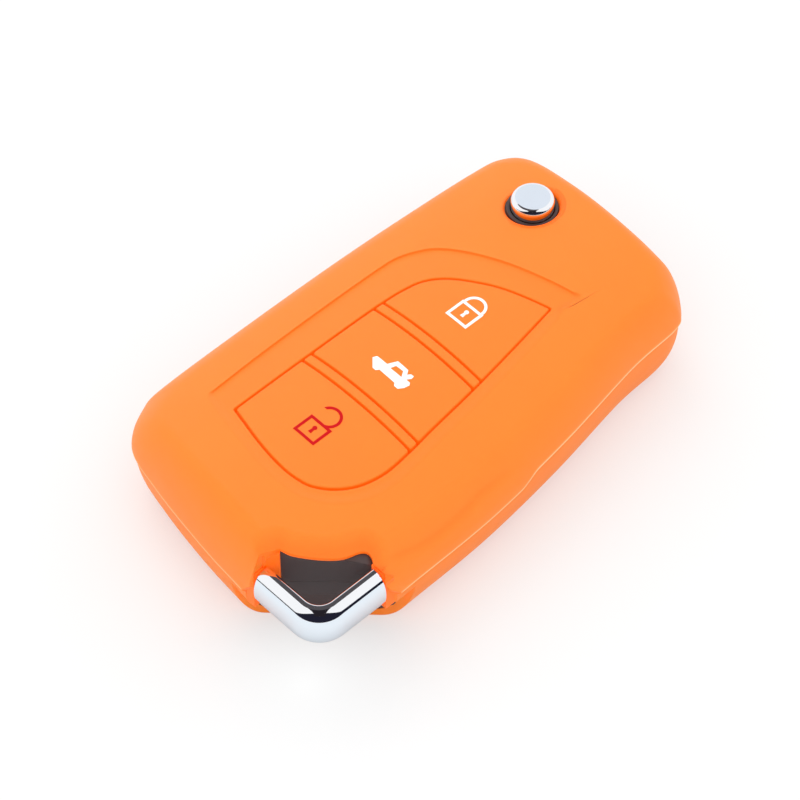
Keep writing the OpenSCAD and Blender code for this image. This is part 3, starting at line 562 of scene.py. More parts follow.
def slab(cover, pads, low, high, foot):
    """A slab between two levels of the panel: the part of its outline, moved in by half the
    groove, whose y lies between the levels. Its upper edge is rounded by a quarter circle, and its
    top and foot follow the crown."""
    half_gap = pads.gap / 2
    line = even_loop(leaf(cover, pads, PANEL_LEFT_SHARES, 0, -half_gap), 6000)
    line = line[(line[:, 1] > low + half_gap) & (line[:, 1] < high - half_gap)]
    line = rounded_shape(line, 520, 7)
    middle = line.mean(0)
    out = outward(line)
    r = pads.edge_round
    wide, inner = line + out * pads.gap * 0.28, line - out * r
    rows = [(middle + (wide - middle) * k, foot) for k in (0.1, 0.4, 0.7, 1)]
    rows += [(wide, pads.dish_depth + 0.75 * MM), (line, pads.dish_depth + 0.3 * MM)]
    rows += [(line - out * r * (1 - np.cos(a)), pads.dish_depth + r * (1 - np.sin(a)))
             for a in np.radians((0, 20, 40, 60, 78))]
    rows += [(middle + (inner - middle) * k, pads.dish_depth)
             for k in (0.985, 0.95, 0.88, 0.8, 0.7, 0.6, 0.5, 0.4, 0.3, 0.2, 0.1, 0.04)]
    # Painted shade down the pad's wall in the groove, fading over its rounded edge to the dish's painted
    # light on its top
    painted_lights = [1, 1, 1, 1, 1, 1, 0.8, 0.5, 0.3] + [DISH_TONE] * (len(rows) - 9)
    return closed_tube(np.array([on_crown(cover, *row) for row in rows]), np.array(painted_lights, float))


def new_mesh_object(name, part):
    """A Blender object from vertices, quads, triangles and painted light, written as whole arrays.
    The painted light of a point says how deep its colour is and how much it glows, up to 1, for
    painted shade and a painted glow, or how pale it is, down to -1, for a painted highlight."""
    verts, quads, tris, painted_lights = part
    mesh = bpy.data.meshes.new(name)
    mesh.vertices.add(len(verts))
    mesh.vertices.foreach_set("co", verts.astype(np.float32).ravel())
    loops = np.concatenate([quads.ravel(), tris.ravel()]).astype(np.int32)
    mesh.loops.add(len(loops))
    mesh.loops.foreach_set("vertex_index", loops)
    totals = np.repeat([4, 3], [len(quads), len(tris)])
    mesh.polygons.add(len(totals))
    mesh.polygons.foreach_set("loop_start", (np.cumsum(totals) - totals).astype(np.int32))
    mesh.update(calc_edges=True)
    mesh.attributes.new("painted_light", "FLOAT", "POINT").data.foreach_set("value", painted_lights.astype(np.float32))
    obj = bpy.data.objects.new(name, mesh)
    bpy.context.scene.collection.objects.link(obj)
    return obj


def new_sheet(name, points, material):
    """An open sheet through a grid of points, for the stage alone."""
    m, n, _ = points.shape
    quads = grid_faces(m, n).reshape(m - 1, n, 4)[:, :-1].reshape(-1, 4)
    obj = new_mesh_object(name, bare(points, quads))
    obj.data.materials.append(material)
    return obj


def cut_away(obj, cutters):
    """Subtracts each cutter from the object, writes the result into its mesh and drops the cutters."""
    for cutter in cutters:
        step = obj.modifiers.new(cutter.name, "BOOLEAN")
        step.operation, step.solver, step.object = "DIFFERENCE", "MANIFOLD", cutter
    bpy.context.view_layer.update()
    graph = bpy.context.evaluated_depsgraph_get()
    mesh = bpy.data.meshes.new_from_object(obj.evaluated_get(graph))
    obj.modifiers.clear()
    obj.data = mesh
    for cutter in cutters:
        bpy.data.objects.remove(cutter)


def dressed(obj, body, slot, node=None, degrees=34):
    """Gives a finished piece its finish and smooth shading but for edges sharper than an angle,
    and puts it on its body in place of its CAD node."""
    mesh = obj.data
    mesh.polygons.foreach_set("use_smooth", np.ones(len(mesh.polygons), bool))
    mesh.set_sharp_from_angle(angle=math.radians(degrees))
    mesh.materials.clear()
    mesh.materials.append(finishes()[slot])
    if node:
        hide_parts(node)
    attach(obj, body)


# Finishes


class Wire:
    """A shader socket that adds Math nodes to its tree when it is used in an expression."""

    def __init__(self, nodes, socket):
        self.nodes, self.socket = nodes, socket

    def _math(self, operation, *values):
        return self.nodes.add("Math", {"operation": operation}, dict(enumerate(values)))

    def __add__(self, other):
        return self._math("ADD", self, other)

    __radd__ = __add__

    def __mul__(self, other):
        return self._math("MULTIPLY", self, other)

    __rmul__ = __mul__

    def __sub__(self, other):
        return self._math("SUBTRACT", self, other)

    def __rsub__(self, other):
        return self._math("SUBTRACT", other, self)

    def held(self):
        """The value kept between 0 and 1."""
        found = self + 0.0
        found.socket.node.use_clamp = True
        return found


class Nodes:
    """A node tree that is filled by adding nodes to it."""

    def __init__(self, tree):
        self.tree = tree

    def put(self, socket, value):
        """Links a wire to a socket or sets its value."""
        if isinstance(value, Wire):
            self.tree.links.new(value.socket, socket)
        else:
            socket.default_value = (*value, 1) if socket.type == "RGBA" else value

    def add(self, kind, settings, inputs, output=0):
        """Adds any node: its settings first, then the values or links of its sockets."""
        node = self.tree.nodes.new("ShaderNode" + kind)
        for key, value in settings.items():
            setattr(node, key, value)
        for key, value in inputs.items():
            self.put(node.inputs[key], value)
        return Wire(self, node.outputs[output])

    def ray(self, kind):
        """1 where a surface is met by that kind of ray, else 0."""
        return self.add("LightPath", {}, {}, f"Is {kind} Ray")


class Shader(Nodes):
    """A material's node tree, with its main shader and its surface coordinates in metres."""

    def __init__(self, name):
        self.material = bpy.data.materials.new(name)
        self.material.use_nodes = True
        super().__init__(self.material.node_tree)
        self.main = self.tree.nodes["Principled BSDF"]
        self.place = self.add("TexCoord", {}, {}, "Object")

    def noise(self, size, detail=2, place=None):
        """Cloudy noise whose clouds are about that many millimetres across."""
        return self.add("TexNoise", {}, {"Vector": place or self.place, "Scale": 1 / (size * MM),
                                         "Detail": detail})

    def blend(self, factor, first, second):
        """Two colours mixed by a factor."""
        return self.add("Mix", {"data_type": "RGBA"}, {0: factor, 6: first, 7: second}, 2)

    def bump(self, height, strength, depth, radius=0):
        """A Bump node over a height that is so many millimetres deep, on normals that run smoothly
        over edges within a radius."""
        inputs = {"Height": height, "Strength": strength, "Distance": depth * MM}
        if radius:
            inputs["Normal"] = self.add("Bevel", {"samples": 6}, {"Radius": radius * MM})
        return self.add("Bump", {}, inputs)

    def set(self, **values):
        """Sets or links sockets of the main shader; an underscore stands for a space."""
        for key, value in values.items():
            self.put(self.main.inputs[key.replace("_", " ")], value)
        return self.material


def scaled(tint, share):
    """A colour times a share, up to white."""
    return tuple(min(1, share * c) for c in tint)


def silicone_finish(tint):
    """Satin silicone: a faint cloudy mottling, a soft sheen, light let in a little way, and a fine
    grain. Each point's painted light blends in painted shade and a painted glow where it is over 0,
    and a painted highlight where it is under 0."""
    m = Shader("satin_silicone")
    cloud = m.noise(9, 3)
    painted_light = m.add("Attribute", {"attribute_name": "painted_light"}, {}, "Fac")
    even = m.blend(cloud, tint.silicone, tint.silicone_deep)
    # Painted shade where the painted light is over 0
    deeper = m.blend(painted_light.held(), even, tint.silicone_painted_shade)
    return m.set(
        # Painted highlight where the painted light is under 0
        Base_Color=m.blend((-1.0 * painted_light).held(), deeper, tint.silicone_painted_highlight),
        Roughness=0.46 + 0.1 * m.noise(2.5), Normal=m.bump(m.noise(0.16, 3), 0.12, 0.02, 0.16),
        Specular_IOR_Level=0.35, Sheen_Weight=0.12, Sheen_Roughness=0.4, Sheen_Tint=(1.0, 0.75, 0.5),
        # Painted glow where the painted light is over 0
        Emission_Strength=1.0, Emission_Color=m.blend(painted_light.held(), (0, 0, 0), tint.silicone_painted_glow),
        Subsurface_Weight=0.12, Subsurface_Radius=(1.0, 0.25, 0.06), Subsurface_Scale=0.9 * MM)


def plastic_finish(tint):
    """Case plastic: fine spark-eroded texture, edges worn smooth."""
    m = Shader("textured_case_plastic")
    grain = m.noise(0.22, 4)
    return m.set(Base_Color=m.blend(0.5 * grain + 0.3 * m.noise(6), tint, scaled(tint, 1.35)),
                 Roughness=0.36 + 0.16 * grain, Normal=m.bump(grain, 0.25, 0.03, 0.2))


def chrome_finish(tint):
    """Bright chrome: nearly a mirror, with faint haze and hairline marks."""
    m = Shader("bright_chrome")
    haze = m.noise(3, 3)
    return m.set(Base_Color=m.blend(haze, tint, scaled(tint, 0.97)), Metallic=1.0,
                 Roughness=0.035 + 0.03 * haze, Normal=m.bump(m.noise(0.6, 5), 0.03, 0.01))


def board_finish(tint):
    """Lacquered laminate: copper tracks as square cells that show lighter through the green."""
    m = Shader("green_laminate")
    cells = m.add("TexBrick", {"offset": 0.5},
                  {"Vector": m.place, "Scale": 1.0, "Mortar Size": 0.12 * MM,
                   "Brick Width": 2.4 * MM, "Row Height": 0.9 * MM}, "Fac")
    return m.set(Base_Color=m.blend(cells, tint, (0.03, 0.24, 0.09)), Roughness=0.3 - 0.1 * cells,
                 Normal=m.bump(cells, 0.2, 0.02), Coat_Weight=0.5)


def grained_finish(name, tint, other, share, rough, rougher, size, detail, strength, depth,
                   radius=0, stretch=None, **sockets):
    """A finish from one noise, so many millimetres large: a share of it blends the colour with
    that colour times other, some of it makes the surface rougher, and all of it is a height.
    Stretched it makes brushed lines."""
    m = Shader(name)
    place = m.add("Mapping", {}, {"Vector": m.place, "Scale": stretch}) if stretch else None
    grain = m.noise(size, detail, place)
    return m.set(Base_Color=m.blend(share * grain, tint, scaled(tint, other)),
                 Roughness=rough + rougher * grain, Normal=m.bump(grain, strength, depth, radius),
                 **sockets)


# Settings of the finishes that are made from one noise
INK = {"other": 0.8, "share": 0.12, "rough": 0.5, "rougher": 0.12, "size": 0.5, "detail": 3,
       "strength": 0.1, "depth": 0.01, "Specular_IOR_Level": 0.15}
METAL = {"other": 0.72, "share": 0.6, "rough": 0.26, "rougher": 0.2, "size": 0.25, "detail": 4,
         "strength": 0.15, "depth": 0.01, "radius": 0.12, "Metallic": 1.0}
MOULDED = {"other": 1.3, "share": 0.6, "rougher": 0.12, "detail": 3, "depth": 0.02, "radius": 0.12}


def finishes():
    """Every finish by its slot, made once."""
    scene = bpy.context.scene
    if "finish_names" in scene:
        return {slot: bpy.data.materials[name] for slot, name in scene["finish_names"].items()}
    tint = scene.key_finish
    made = {
        "silicone": silicone_finish(tint),
        "ink_white": grained_finish("white_ink", tint.ink_white, **INK),
        "ink_red": grained_finish("red_ink", tint.ink_red, **INK),
        "case_plastic": plastic_finish(tint.plastic),
        "chrome": chrome_finish(tint.chrome),
        "steel": grained_finish("brushed_steel", tint.steel, stretch=(1, 0.04, 1), **METAL),
        "brass": grained_finish("plated_brass", tint.brass, stretch=(1, 1, 0.1), **METAL),
        "black_rubber": grained_finish("black_rubber", tint.rubber, rough=0.62, size=0.3,
                                       strength=0.3, **MOULDED),
        "black_resin": grained_finish("black_resin", tint.resin, rough=0.42, size=0.15,
                                      strength=0.15, **MOULDED),
        "plunger_plastic": grained_finish("natural_plastic", tint.natural, rough=0.4, size=0.4,
                                          strength=0.1, **MOULDED),
        "board_laminate": board_finish(tint.board),
    }
    scene["finish_names"] = {slot: m.name for slot, m in made.items()}
    return made


# Operators


class KEYCOVER_OT_skin(bpy.types.Operator):
    """Build the silicone skin with its dish, pocket, parting line and openings"""

    bl_idname = "keycover.skin"
    bl_label = "Silicone skin"

    def execute(self, context):
        cover, pads, loop, cap = sizes(context)
        centre, half = panel_frame(cover, pads)
        edge = leaf(cover, pads, PANEL_LEFT_SHARES, 0, pads.gap / 2)
        edge = rounded_shape(edge, cover.around, 3)
        angles = np.arctan2(*((edge - centre) / half).T[::-1])
        outline = by_angle(smooth_line(OUTLINE_SHARES, 40, closed=True)[::-1], (0, 0), 1, angles)
        outer, painted_lights = self.outside(cover, pads, outline, edge, angles)
        self.thin_out(cover, loop, outer)
        # The inner surface has painted light 1: full painted shade and glow where it shows in the openings
        skin = new_mesh_object("cover_skin", merged(
            closed_tube(outer, painted_lights), reversed_faces(closed_tube(self.inside(cover, outline), 1.0))))
        cut_away(skin, [new_mesh_object(f"cut_{k}", part)
                        for k, part in enumerate(self.openings(cover, pads, loop, cap))])
        self.paint_thin_edge_glow(skin, cover, loop, cap)

        levels = pad_levels(cover, pads)
        strips = [slab(cover, pads, *levels[name], pads.pocket + 0.1 * MM)
                  for name in ("far_strip", "near_strip")]
        bars = new_mesh_object("strips", merged(*strips, *self.cuffs(cover, loop)))
        with bpy.context.temp_override(active_object=skin, object=skin,
                                       selected_objects=[skin, bars],
                                       selected_editable_objects=[skin, bars]):
            bpy.ops.object.join()
        dressed(skin, KEY_BODY, "silicone", "cover_sleeve")
        return {"FINISHED"}

    def outside(self, cover, pads, outline, edge, angles):
        """Rings of the outer surface and the painted light of each point: the base, the flank from base
        to top with the parting line on it, the crown, the dish's step, its floor, and the pocket of
        the pads. The parting line's ridge is a bell curve of the height over its level. Painted shade
        lies in the scoop's crease, along the dish's crisp step and down the pocket's wall, and a painted
        highlight along the parting line."""
        waist_line = flank(cover, outline, np.zeros(len(outline)))[:, :2]
        level = seam_level(waist_line)
        half_seam = cover.seam_width / 2
        near_seam = np.array([-8, -3.5, -2, -1.2, -0.6, 0, 0.6, 1.2, 2, 3.5, 8])
        seam_s = np.array([at_level(cover, outline, level + d * half_seam) for d in near_seam])
        low = np.linspace(0, 1, 14)[:-1, None]
        high = np.linspace(0, 1, 22)[1:, None]
        s = np.vstack([-1 + (seam_s[0] + 1) * low, seam_s, seam_s[-1] + (1 - seam_s[-1]) * high])
        side = flank(cover, outline[None], s)
        under = (level - side[..., 2]) / half_seam
        ridge = cover.seam_proud * np.exp(-1.4 * under**2)
        step = cover.seam_step * ramp(0.5 + under / 3) * ramp(1 + s)
        push = ridge - step - scoop(cover, side)
        side[..., :2] += outward(waist_line) * push[..., None]
        # Painted shade in the crease of the thumb scoop
        side_painted_light = 0.5 * crease(side)
        # Painted highlight along the parting line
        side_painted_light[len(low):len(low) + len(near_seam)] = -np.exp(-0.7 * near_seam**2)[:, None]
        bottom = [side[0] * (k, k, 0) for k in (0.12, 0.35, 0.6, 0.8, 0.93)]

        top = side[-1][:, :2]
        rim, rim_in, crisp = self.dish_step(cover, pads, angles)
        out, r, depth = outward(edge), pads.edge_round, pads.dish_depth
        lip = edge + out * r * 1.6
        centre, _ = panel_frame(cover, pads)
        crowned = [(top + (rim - top) * t, 0) for t in np.linspace(0, 1, 34)[1:-1]]
        dish = [(rim + (rim_in - rim) * t, depth * ramp(t)) for t in (0, 0.15, 0.32, 0.5, 0.68, 0.85, 1)]
        floor = [(rim_in + (lip - rim_in) * t, depth) for t in (0.25, 0.5, 0.75, 1)]
        wall = [(edge + out * r * (1 - np.sin(a)), depth + r * (1 - np.cos(a)))
                for a in np.radians((15, 35, 55, 75, 90))]
        wall += [(edge, depth + 0.3 * MM), (edge, pads.pocket - 0.2 * MM)]
        pocket = [(centre + (edge - centre) * k, pads.pocket) for k in (0.99, 0.9, 0.7, 0.5, 0.3, 0.12)]
        # Painted shade along the dish's crisp step
        dish_painted_light = DISH_TONE + crisp * np.array([[-0.2, 0.7, 1.3, 1.4, 1.3, 0.7, 0]]).T
        # Painted shade deepening down the pocket's wall
        deep = np.array([[DISH_TONE, 0.3, 0.5, 0.8] + [1] * (len(wall) - 4 + len(pocket))]).T
        laid = [[on_crown(cover, *row) for row in rows] for rows in (crowned, dish, floor, wall + pocket)]
        rings = [np.array(found) for found in (bottom, side, *laid)]
        painted_lights = [np.broadcast_to(painted_light, part.shape[:2]) for painted_light, part in zip(
            (0, side_painted_light, 0, dish_painted_light, DISH_TONE, deep), rings)]
        return np.concatenate(rings), np.concatenate(painted_lights)

    def dish_step(self, cover, pads, angles):
        """The step of the dish at each column: its outer and its inner line, and how crisp it is,
        from 1 on the left and round the far end to 0 on the right and at the near end."""
        centre, half = panel_frame(cover, pads)
        line = leaf(cover, pads, DISH_LEFT_SHARES, pads.dish_margin, pads.dish_rim)
        rim = by_angle(rounded_shape(line, 1200, 8), centre, half, angles)
        rim = rim + outward(rim) * 0.1 * MM
        crisp = (ramp((centre[0] + CRISP_RIGHT - rim[:, 0]) / (1 * MM))
                 * ramp((rim[:, 1] - CRISP_NEAR) / (0.7 * MM)))
        beyond, within = (crisp * pads.crisp_edge / 2 + (1 - crisp) * pads.soft_edge * share
                          for share in (0.75, 0.25))
        out = outward(rim)
        return rim + out * beyond[:, None], rim - out * within[:, None], crisp

    def inside(self, cover, outline):
        """Rings of the inner surface, drawn in by the walls."""
        s = np.linspace(-1, 1, 22)[:, None]
        side = flank(cover, outline[None, ::4], s, cover.wall, cover.top_wall, cover.wall)
        low = [side[0] * (k, k, 1) for k in (0.1, 0.4, 0.7)]
        roof = [on_crown(cover, side[-1][:, :2] * k, cover.top_wall)
                for k in (0.85, 0.65, 0.45, 0.25, 0.08)]
        return np.array(low + list(side) + roof)

    def thin_out(self, cover, loop, rings):
        """Lowers the top smoothly towards its thin edge over the loop. The share of the way down
        is 1 - smooth step of the distance over the taper's width, and the edge lies the taper's
        depth under the crown."""
        near = by_loop(cover, loop, rings[..., :2])
        near &= rings[..., 2] > loop.bar_level + loop.bar_height / 2
        points = rings[near]
        down = 1 - ramp(from_bite(cover, loop, points[:, :2]) / cover.taper_width)
        edge = crown(cover, points[:, 0], cover.taper_depth)
        points[:, 2] -= down * np.maximum(points[:, 2] - edge, 0)
        rings[near] = points

    def paint_thin_edge_glow(self, skin, cover, loop, cap):
        """Deepens the colour of the thin edges with painted shade and a painted glow, by 1 - smooth step
        of the distance in plan over a reach: round the button's hole but for its right near side, and
        over the loop."""
        mesh = skin.data
        co = np.empty(len(mesh.vertices) * 3, np.float32)
        mesh.vertices.foreach_get("co", co)
        co = co.reshape(-1, 3).astype(float)
        painted_lights = np.empty(len(co), np.float32)
        mesh.attributes["painted_light"].data.foreach_get("value", painted_lights)
        half = cover.width / 2
        top = co[:, 2] > crown(cover, np.clip(co[:, 0], -half, half), 3 * MM)
        x, y = (co[:, :2] - pivot_of(cover, cap)).T
        away = np.hypot(x, y)
        near = top & (away < cap.hole + cap.glow)
        toward = (x - y)[near] / (1.4 * away[near])
        lit = ramp(1 - 1.1 * toward) * (1 - ramp((away[near] - cap.hole) / cap.glow))
        painted_lights[near] = np.maximum(painted_lights[near], lit)
        near = top & by_loop(cover, loop, co[:, :2])
        away = from_bite(cover, loop, co[near][:, :2])
        painted_lights[near] = np.maximum(painted_lights[near], 0.8 * (1 - ramp(away / (0.75 * cover.taper_width))))
        mesh.attributes["painted_light"].data.foreach_set("value", painted_lights)

    def cuffs(self, cover, loop):
        """Thin sheets of silicone over the case behind each end of the loop, each with a leg along
        the wall's inner side, and one that closes the corner under the left tip of the edge."""
        (in_x, in_y), (x0, y0), (wall_x, wall_y), (low, lap) = loop_frame(cover, loop)
        thin, leg, legs_down = 0.13 * MM, 1.4 * MM, 1.5 * MM
        tip = np.array([in_x, in_y]) + loop.arm * np.array([-0.699, 0.094])
        left = [(x0 - leg, wall_y - thin), (x0 + thin, wall_y - thin), (x0 + thin, in_y + thin),
                (x0 - thin, in_y + thin), (x0 - thin, wall_y + thin), (x0 - leg, wall_y + thin)]
        right = [(in_x - 2 * thin, y0 - thin), (wall_x + thin, y0 - thin), (wall_x + thin, y0 + leg),
                 (wall_x - thin, y0 + leg), (wall_x - thin, y0 + thin), (in_x - 2 * thin, y0 + thin)]
        curl = [(x0 + thin, in_y - 2 * thin), tip, tip + (-0.35 * MM, 0.4 * MM),
                (x0 - 3 * thin, in_y + 5 * thin), (x0 - 3 * thin, in_y - 6 * thin),
                (x0 + thin, in_y - 6 * thin)]
        roof = crown(cover, tip[0], cover.top_wall - 0.05 * MM)
        for shape, top in ((left, lap), (right, lap), (curl, roof)):
            line = rounded_shape(shape, 240)
            on_leg = (line[:, 1] < wall_y + 1.5 * thin) | (line[:, 0] > wall_x - 1.5 * thin)
            # Each cuff keeps painted light 1: full painted shade and glow in the recess behind the loop's
            # ends
            yield column(line, [(0, low), (0, top - legs_down * on_leg)])

    def openings(self, cover, pads, loop, cap):
        """Solids that are cut out of the skin: the button's hole with its flared mouth, the nubs'
        holes in the pocket's floor, and the openings for the key and for the loop."""
        hole_foot, nub_foot, high = 12 * MM, 14 * MM, cover.crest + 2 * MM
        pivot = pivot_of(cover, cap)
        ring = circle(pivot, cap.hole, 120)
        flare = [(0, 1.3), (0.02, 0.8), (0.06, 0.5), (0.14, 0.28), (0.3, 0.12), (0.55, 0.03), (0.9, 0)]
        mouth = [(d * MM, crown(cover, ring[:, 0], h * MM)) for d, h in flare]
        yield column(ring, [(0, hole_foot), *mouth, (1.6 * MM, high)])
        centre, half = panel_frame(cover, pads)
        for share in KEY_SHARES.values():
            hole = circle(centre + share * half, pads.nub_radius + 0.3 * MM, 40)
            yield column(hole, [(0, nub_foot), (0, crown(cover, hole[:, 0], 0.9 * MM))])
        yield from self.key_openings(cover, pivot)
        yield from self.loop_openings(cover, loop)

    def key_openings(self, cover, pivot):
        """Slots for the blade at the left side and the far end, and the space of the key's head,
        read from the case that they match."""
        out, gap, head = cover.depth, 0.4 * MM, 2.5 * MM
        low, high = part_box("key_blade")
        slot_low, slot_high = low.z - gap, high.z + gap
        near, inner = low.y - 2 * gap, high.x + gap
        open_x = pivot[0] + (pivot[0] - low.x) + gap
        left = [(-out, near), (inner, near), (inner, pivot[1]), (-out, pivot[1])]
        far = [(-out, pivot[1]), (open_x, pivot[1]), (open_x, out), (-out, out)]
        for shape in (left, far):
            yield column(rounded_shape(shape, 160), [(0, slot_low), (0, slot_high)])
        hub_low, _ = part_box("blade_hub")
        reach = math.hypot(pivot[0] - hub_low.x, HEAD_HALF) + gap
        head_y = hub_low.y - gap
        a = np.linspace(-0.5, 0.5, 40) * math.pi
        arc = pivot + reach * np.stack([np.cos(a), np.sin(a)], 1)
        arc = arc[arc[:, 1] > head_y]
        shape = np.vstack([[(-out, head_y), (arc[0][0], head_y)], arc, [(-out, arc[-1][1])]])
        middle = (slot_low + slot_high) / 2
        yield column(rounded_shape(shape, 300), [(0, middle - head), (0, middle + head)])

    def loop_openings(self, cover, loop):
        """The corner's opening between the lip and the lap, the bite in the top skin, and the
        corner that is missing under the loop."""
        corner, (x0, y0), _, (low, lap) = loop_frame(cover, loop)
        root = math.sqrt(2)
        slant = corner[0] - corner[1] - (loop.arm - loop.bar_width + loop.slant_gap * root)
        rest = bite_rest(cover, loop)
        mouth = [*rest, (x0, x0 - slant), (slant + y0, y0)]
        bite = [*bite_line(cover, loop), *rest]
        within, bite_depth, tip_back = 0.05 * MM, 1.35 * MM, 3.8 * MM
        for line, rows in ((mouth, [(0, low - within), (0, lap + within)]),
                           # The bite's cutter carries painted light 0.9: painted shade and glow on the
                           # faces it cuts
                           (bite, [(0, lap - bite_depth, 0.9), (0, cover.crest, 0.9)])):
            yield column(rounded_shape(line[::-1], 3000, 3), rows)
        out = cover.depth
        rounded_foot = [(1.5 * MM, low - 1 * MM), (1.5 * MM, 8.9 * MM), (1.1 * MM, 9.7 * MM),
                        (0.5 * MM, 10.9 * MM), (-0.3 * MM, 12 * MM)]
        for back, rows in ((slant - loop.step_in * root, [(0, -5 * MM), (0, low)]),
                           (slant + tip_back, rounded_foot)):
            yield column(rounded_shape([(back - out, -out), (out, -out), (out, out - back)], 300), rows)


class KEYCOVER_OT_pads(bpy.types.Operator):
    """Build the three pads, each with its nub"""

    bl_idname = "keycover.pads"
    bl_label = "Pads"

    def execute(self, context):
        cover, pads, _, _ = sizes(context)
        centre, half = panel_frame(cover, pads)
        foot = pads.dish_depth + pads.thickness
        for name, body in PAD_BODIES.items():
            _, key_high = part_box(f"{name}_key")
            ring = circle(centre + KEY_SHARES[name] * half, pads.nub_radius, 48)
            nub = column(ring, [(-0.2 * MM, key_high.z), (0, key_high.z + 0.2 * MM),
                                (0, crown(cover, ring[:, 0], foot - 0.2 * MM))])
            pad = slab(cover, pads, *pad_levels(cover, pads)[name], foot)
            dressed(new_mesh_object(f"{name}_pad_skin", merged(pad, nub)), body, "silicone", f"{name}_pad")
        return {"FINISHED"}


class KEYCOVER_OT_ring_loop(bpy.types.Operator):
    """Build the chromed corner loop that a key ring goes on"""

    bl_idname = "keycover.ring_loop"
    bl_label = "Corner loop"

    def execute(self, context):
        cover, _, loop, _ = sizes(context)
        inner = loop_frame(cover, loop)[0]
        parts = merged(closed_tube(self.bar(loop, inner)), *self.tongues(loop, inner))
        dressed(new_mesh_object("ring_loop", parts), KEY_BODY, "chrome", "corner_loop", 50)
        return {"FINISHED"}

    def bar(self, loop, inner):
        """The bar: a bulged profile carried along one arm, round the corner's arc and along the
        other arm. A profile point lies its distance inside the outer face, on the path's left."""
        outer = inner + (loop.bar_width, -loop.bar_width)
        turn = outer + (-loop.corner, loop.corner)
        a = np.linspace(-0.5, 0, 28) * math.pi
        arc_out = np.stack([np.cos(a), np.sin(a)], 1)
        along = np.linspace(loop.arm, loop.corner, 9)[:-1, None]
        path = np.vstack([outer - along * (1, 0), turn + loop.corner * arc_out,
                          outer + along[::-1] * (0, 1)])
        away = np.vstack([np.tile((0, -1), (8, 1)), arc_out, np.tile((1, 0), (8, 1))])
        inset, rise = self.profile(loop)
        plan = path[:, None] - away[:, None] * inset[None, :, None]
        height = np.broadcast_to(loop.bar_level + rise, plan.shape[:2])
        return np.concatenate([plan, height[..., None]], 2)

    def profile(self, loop):
        """Distance inside the outer face and height over the bar's middle, once round: the outer
        face is half of a rounded oval, the inner face is flat between two small corners."""
        t = np.linspace(-0.5, 0.5, 41) * math.pi
        bulge, half, r = loop.bar_width * 0.8, loop.bar_height / 2, 0.5 * MM
        outer = np.stack([bulge * (1 - np.abs(np.cos(t)) ** 0.9),
                          half * np.sign(np.sin(t)) * np.abs(np.sin(t)) ** 0.94], 1)
        q = np.linspace(0, 0.5, 9) * math.pi
        corner = np.stack([loop.bar_width - r + r * np.sin(q), half - r + r * np.cos(q)], 1)
        return np.vstack([outer, corner, corner[::-1] * (1, -1)])[::-1].T

    def tongues(self, loop, inner):
        """The two tongues in the case, as bars with softened edges."""
        back = loop.arm - loop.bar_width
        near, far = back - 0.3 * MM, back + loop.tongue
        thick, half = loop.tongue_thickness, loop.tongue_height / 2
        for x0, y0, x1, y1 in ((-far, -thick, -near, 0), (0, near, thick, far)):
            line = rounded_shape(inner + np.array([(x0, y0), (x1, y0), (x1, y1), (x0, y1)]), 80)
            yield column(line, [(0, SPLIT_LEVEL - half), (0, SPLIT_LEVEL + half)])


class KEYCOVER_OT_release_cap(bpy.types.Operator):
    """Build the chromed release button, the case's rim round it and the spring under it"""

    bl_idname = "keycover.release_cap"
    bl_label = "Release button"

    def execute(self, context):
        cover, _, _, cap = sizes(context)
        low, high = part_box("release_button")
        pivot = (low.xy + high.xy) / 2
        flat = cap.radius - cap.edge
        rim = high.z - cap.dome - cap.edge_height
        flange = (high.x - low.x) / 2
        rows = [(flange, low.z), (flange, low.z + cap.flange), (cap.radius, low.z + cap.flange),
                (cap.radius, low.z + cap.flange + 0.3 * MM)]
        rows += [(flat + cap.edge * math.cos(q), rim + cap.edge_height * math.sin(q))
                 for q in np.radians(np.arange(0, 91, 7.5))]
        rows += [(flat * k, high.z - cap.dome * k**2) for k in np.linspace(1, 0.04, 9)[1:]]
        piece = new_mesh_object("release_cap", closed_tube(turned(pivot, rows)))
        dressed(piece, "release", "chrome", "release_button", 40)
        self.surround(pivot, cap, crown(cover, pivot.x, 0))
        self.spring(cap)
        return {"FINISHED"}

    def surround(self, pivot, cap, top):
        """The case's rim round the button: a ring with rounded edges that stands in the cover's
        hole, a little under the skin's top."""
        inner, outer = cap.radius + 0.07 * MM, cap.hole - 0.1 * MM
        high, low, r = top - 0.25 * MM, top - 1.6 * MM, 0.12 * MM
        q = np.radians((0, 30, 60, 90))
        rows = [(inner, low), (inner, high - r)]
        rows += [(inner + r * (1 - math.cos(b)), high - r + r * math.sin(b)) for b in q[1:]]
        rows += [(outer - r + r * math.sin(b), high - r + r * math.cos(b)) for b in q]
        rings = turned(pivot, [*rows, (outer, low)][::-1])
        m, n, _ = rings.shape
        piece = new_mesh_object("button_surround", bare(rings, grid_faces(m + 1, n) % (m * n)))
        dressed(piece, KEY_BODY, "case_plastic", degrees=50)

    def spring(self, cap):
        """The coil spring under the button: a wire whose middle turns about the button's axis as
        it rises evenly."""
        low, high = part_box("release_spring")
        wire = cap.spring_wire
        t = np.linspace(0, 1, 24 * cap.spring_turns + 1)[:, None]
        a, b = 2 * math.pi * cap.spring_turns * t, np.radians(np.arange(0, 360, 36))
        r = (high.x - low.x) / 2 - wire + wire * np.sin(b)
        z = low.z + wire + (high.z - low.z - 2 * wire) * t + 0.96 * wire * np.cos(b)
        middle = (low + high) / 2
        rings = np.stack([middle.x + r * np.cos(a), middle.y + r * np.sin(a), z], -1)
        coil = new_mesh_object("coil_spring", closed_tube(rings))
        dressed(coil, KEY_BODY, "steel", "release_spring", 60)
        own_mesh(coil)


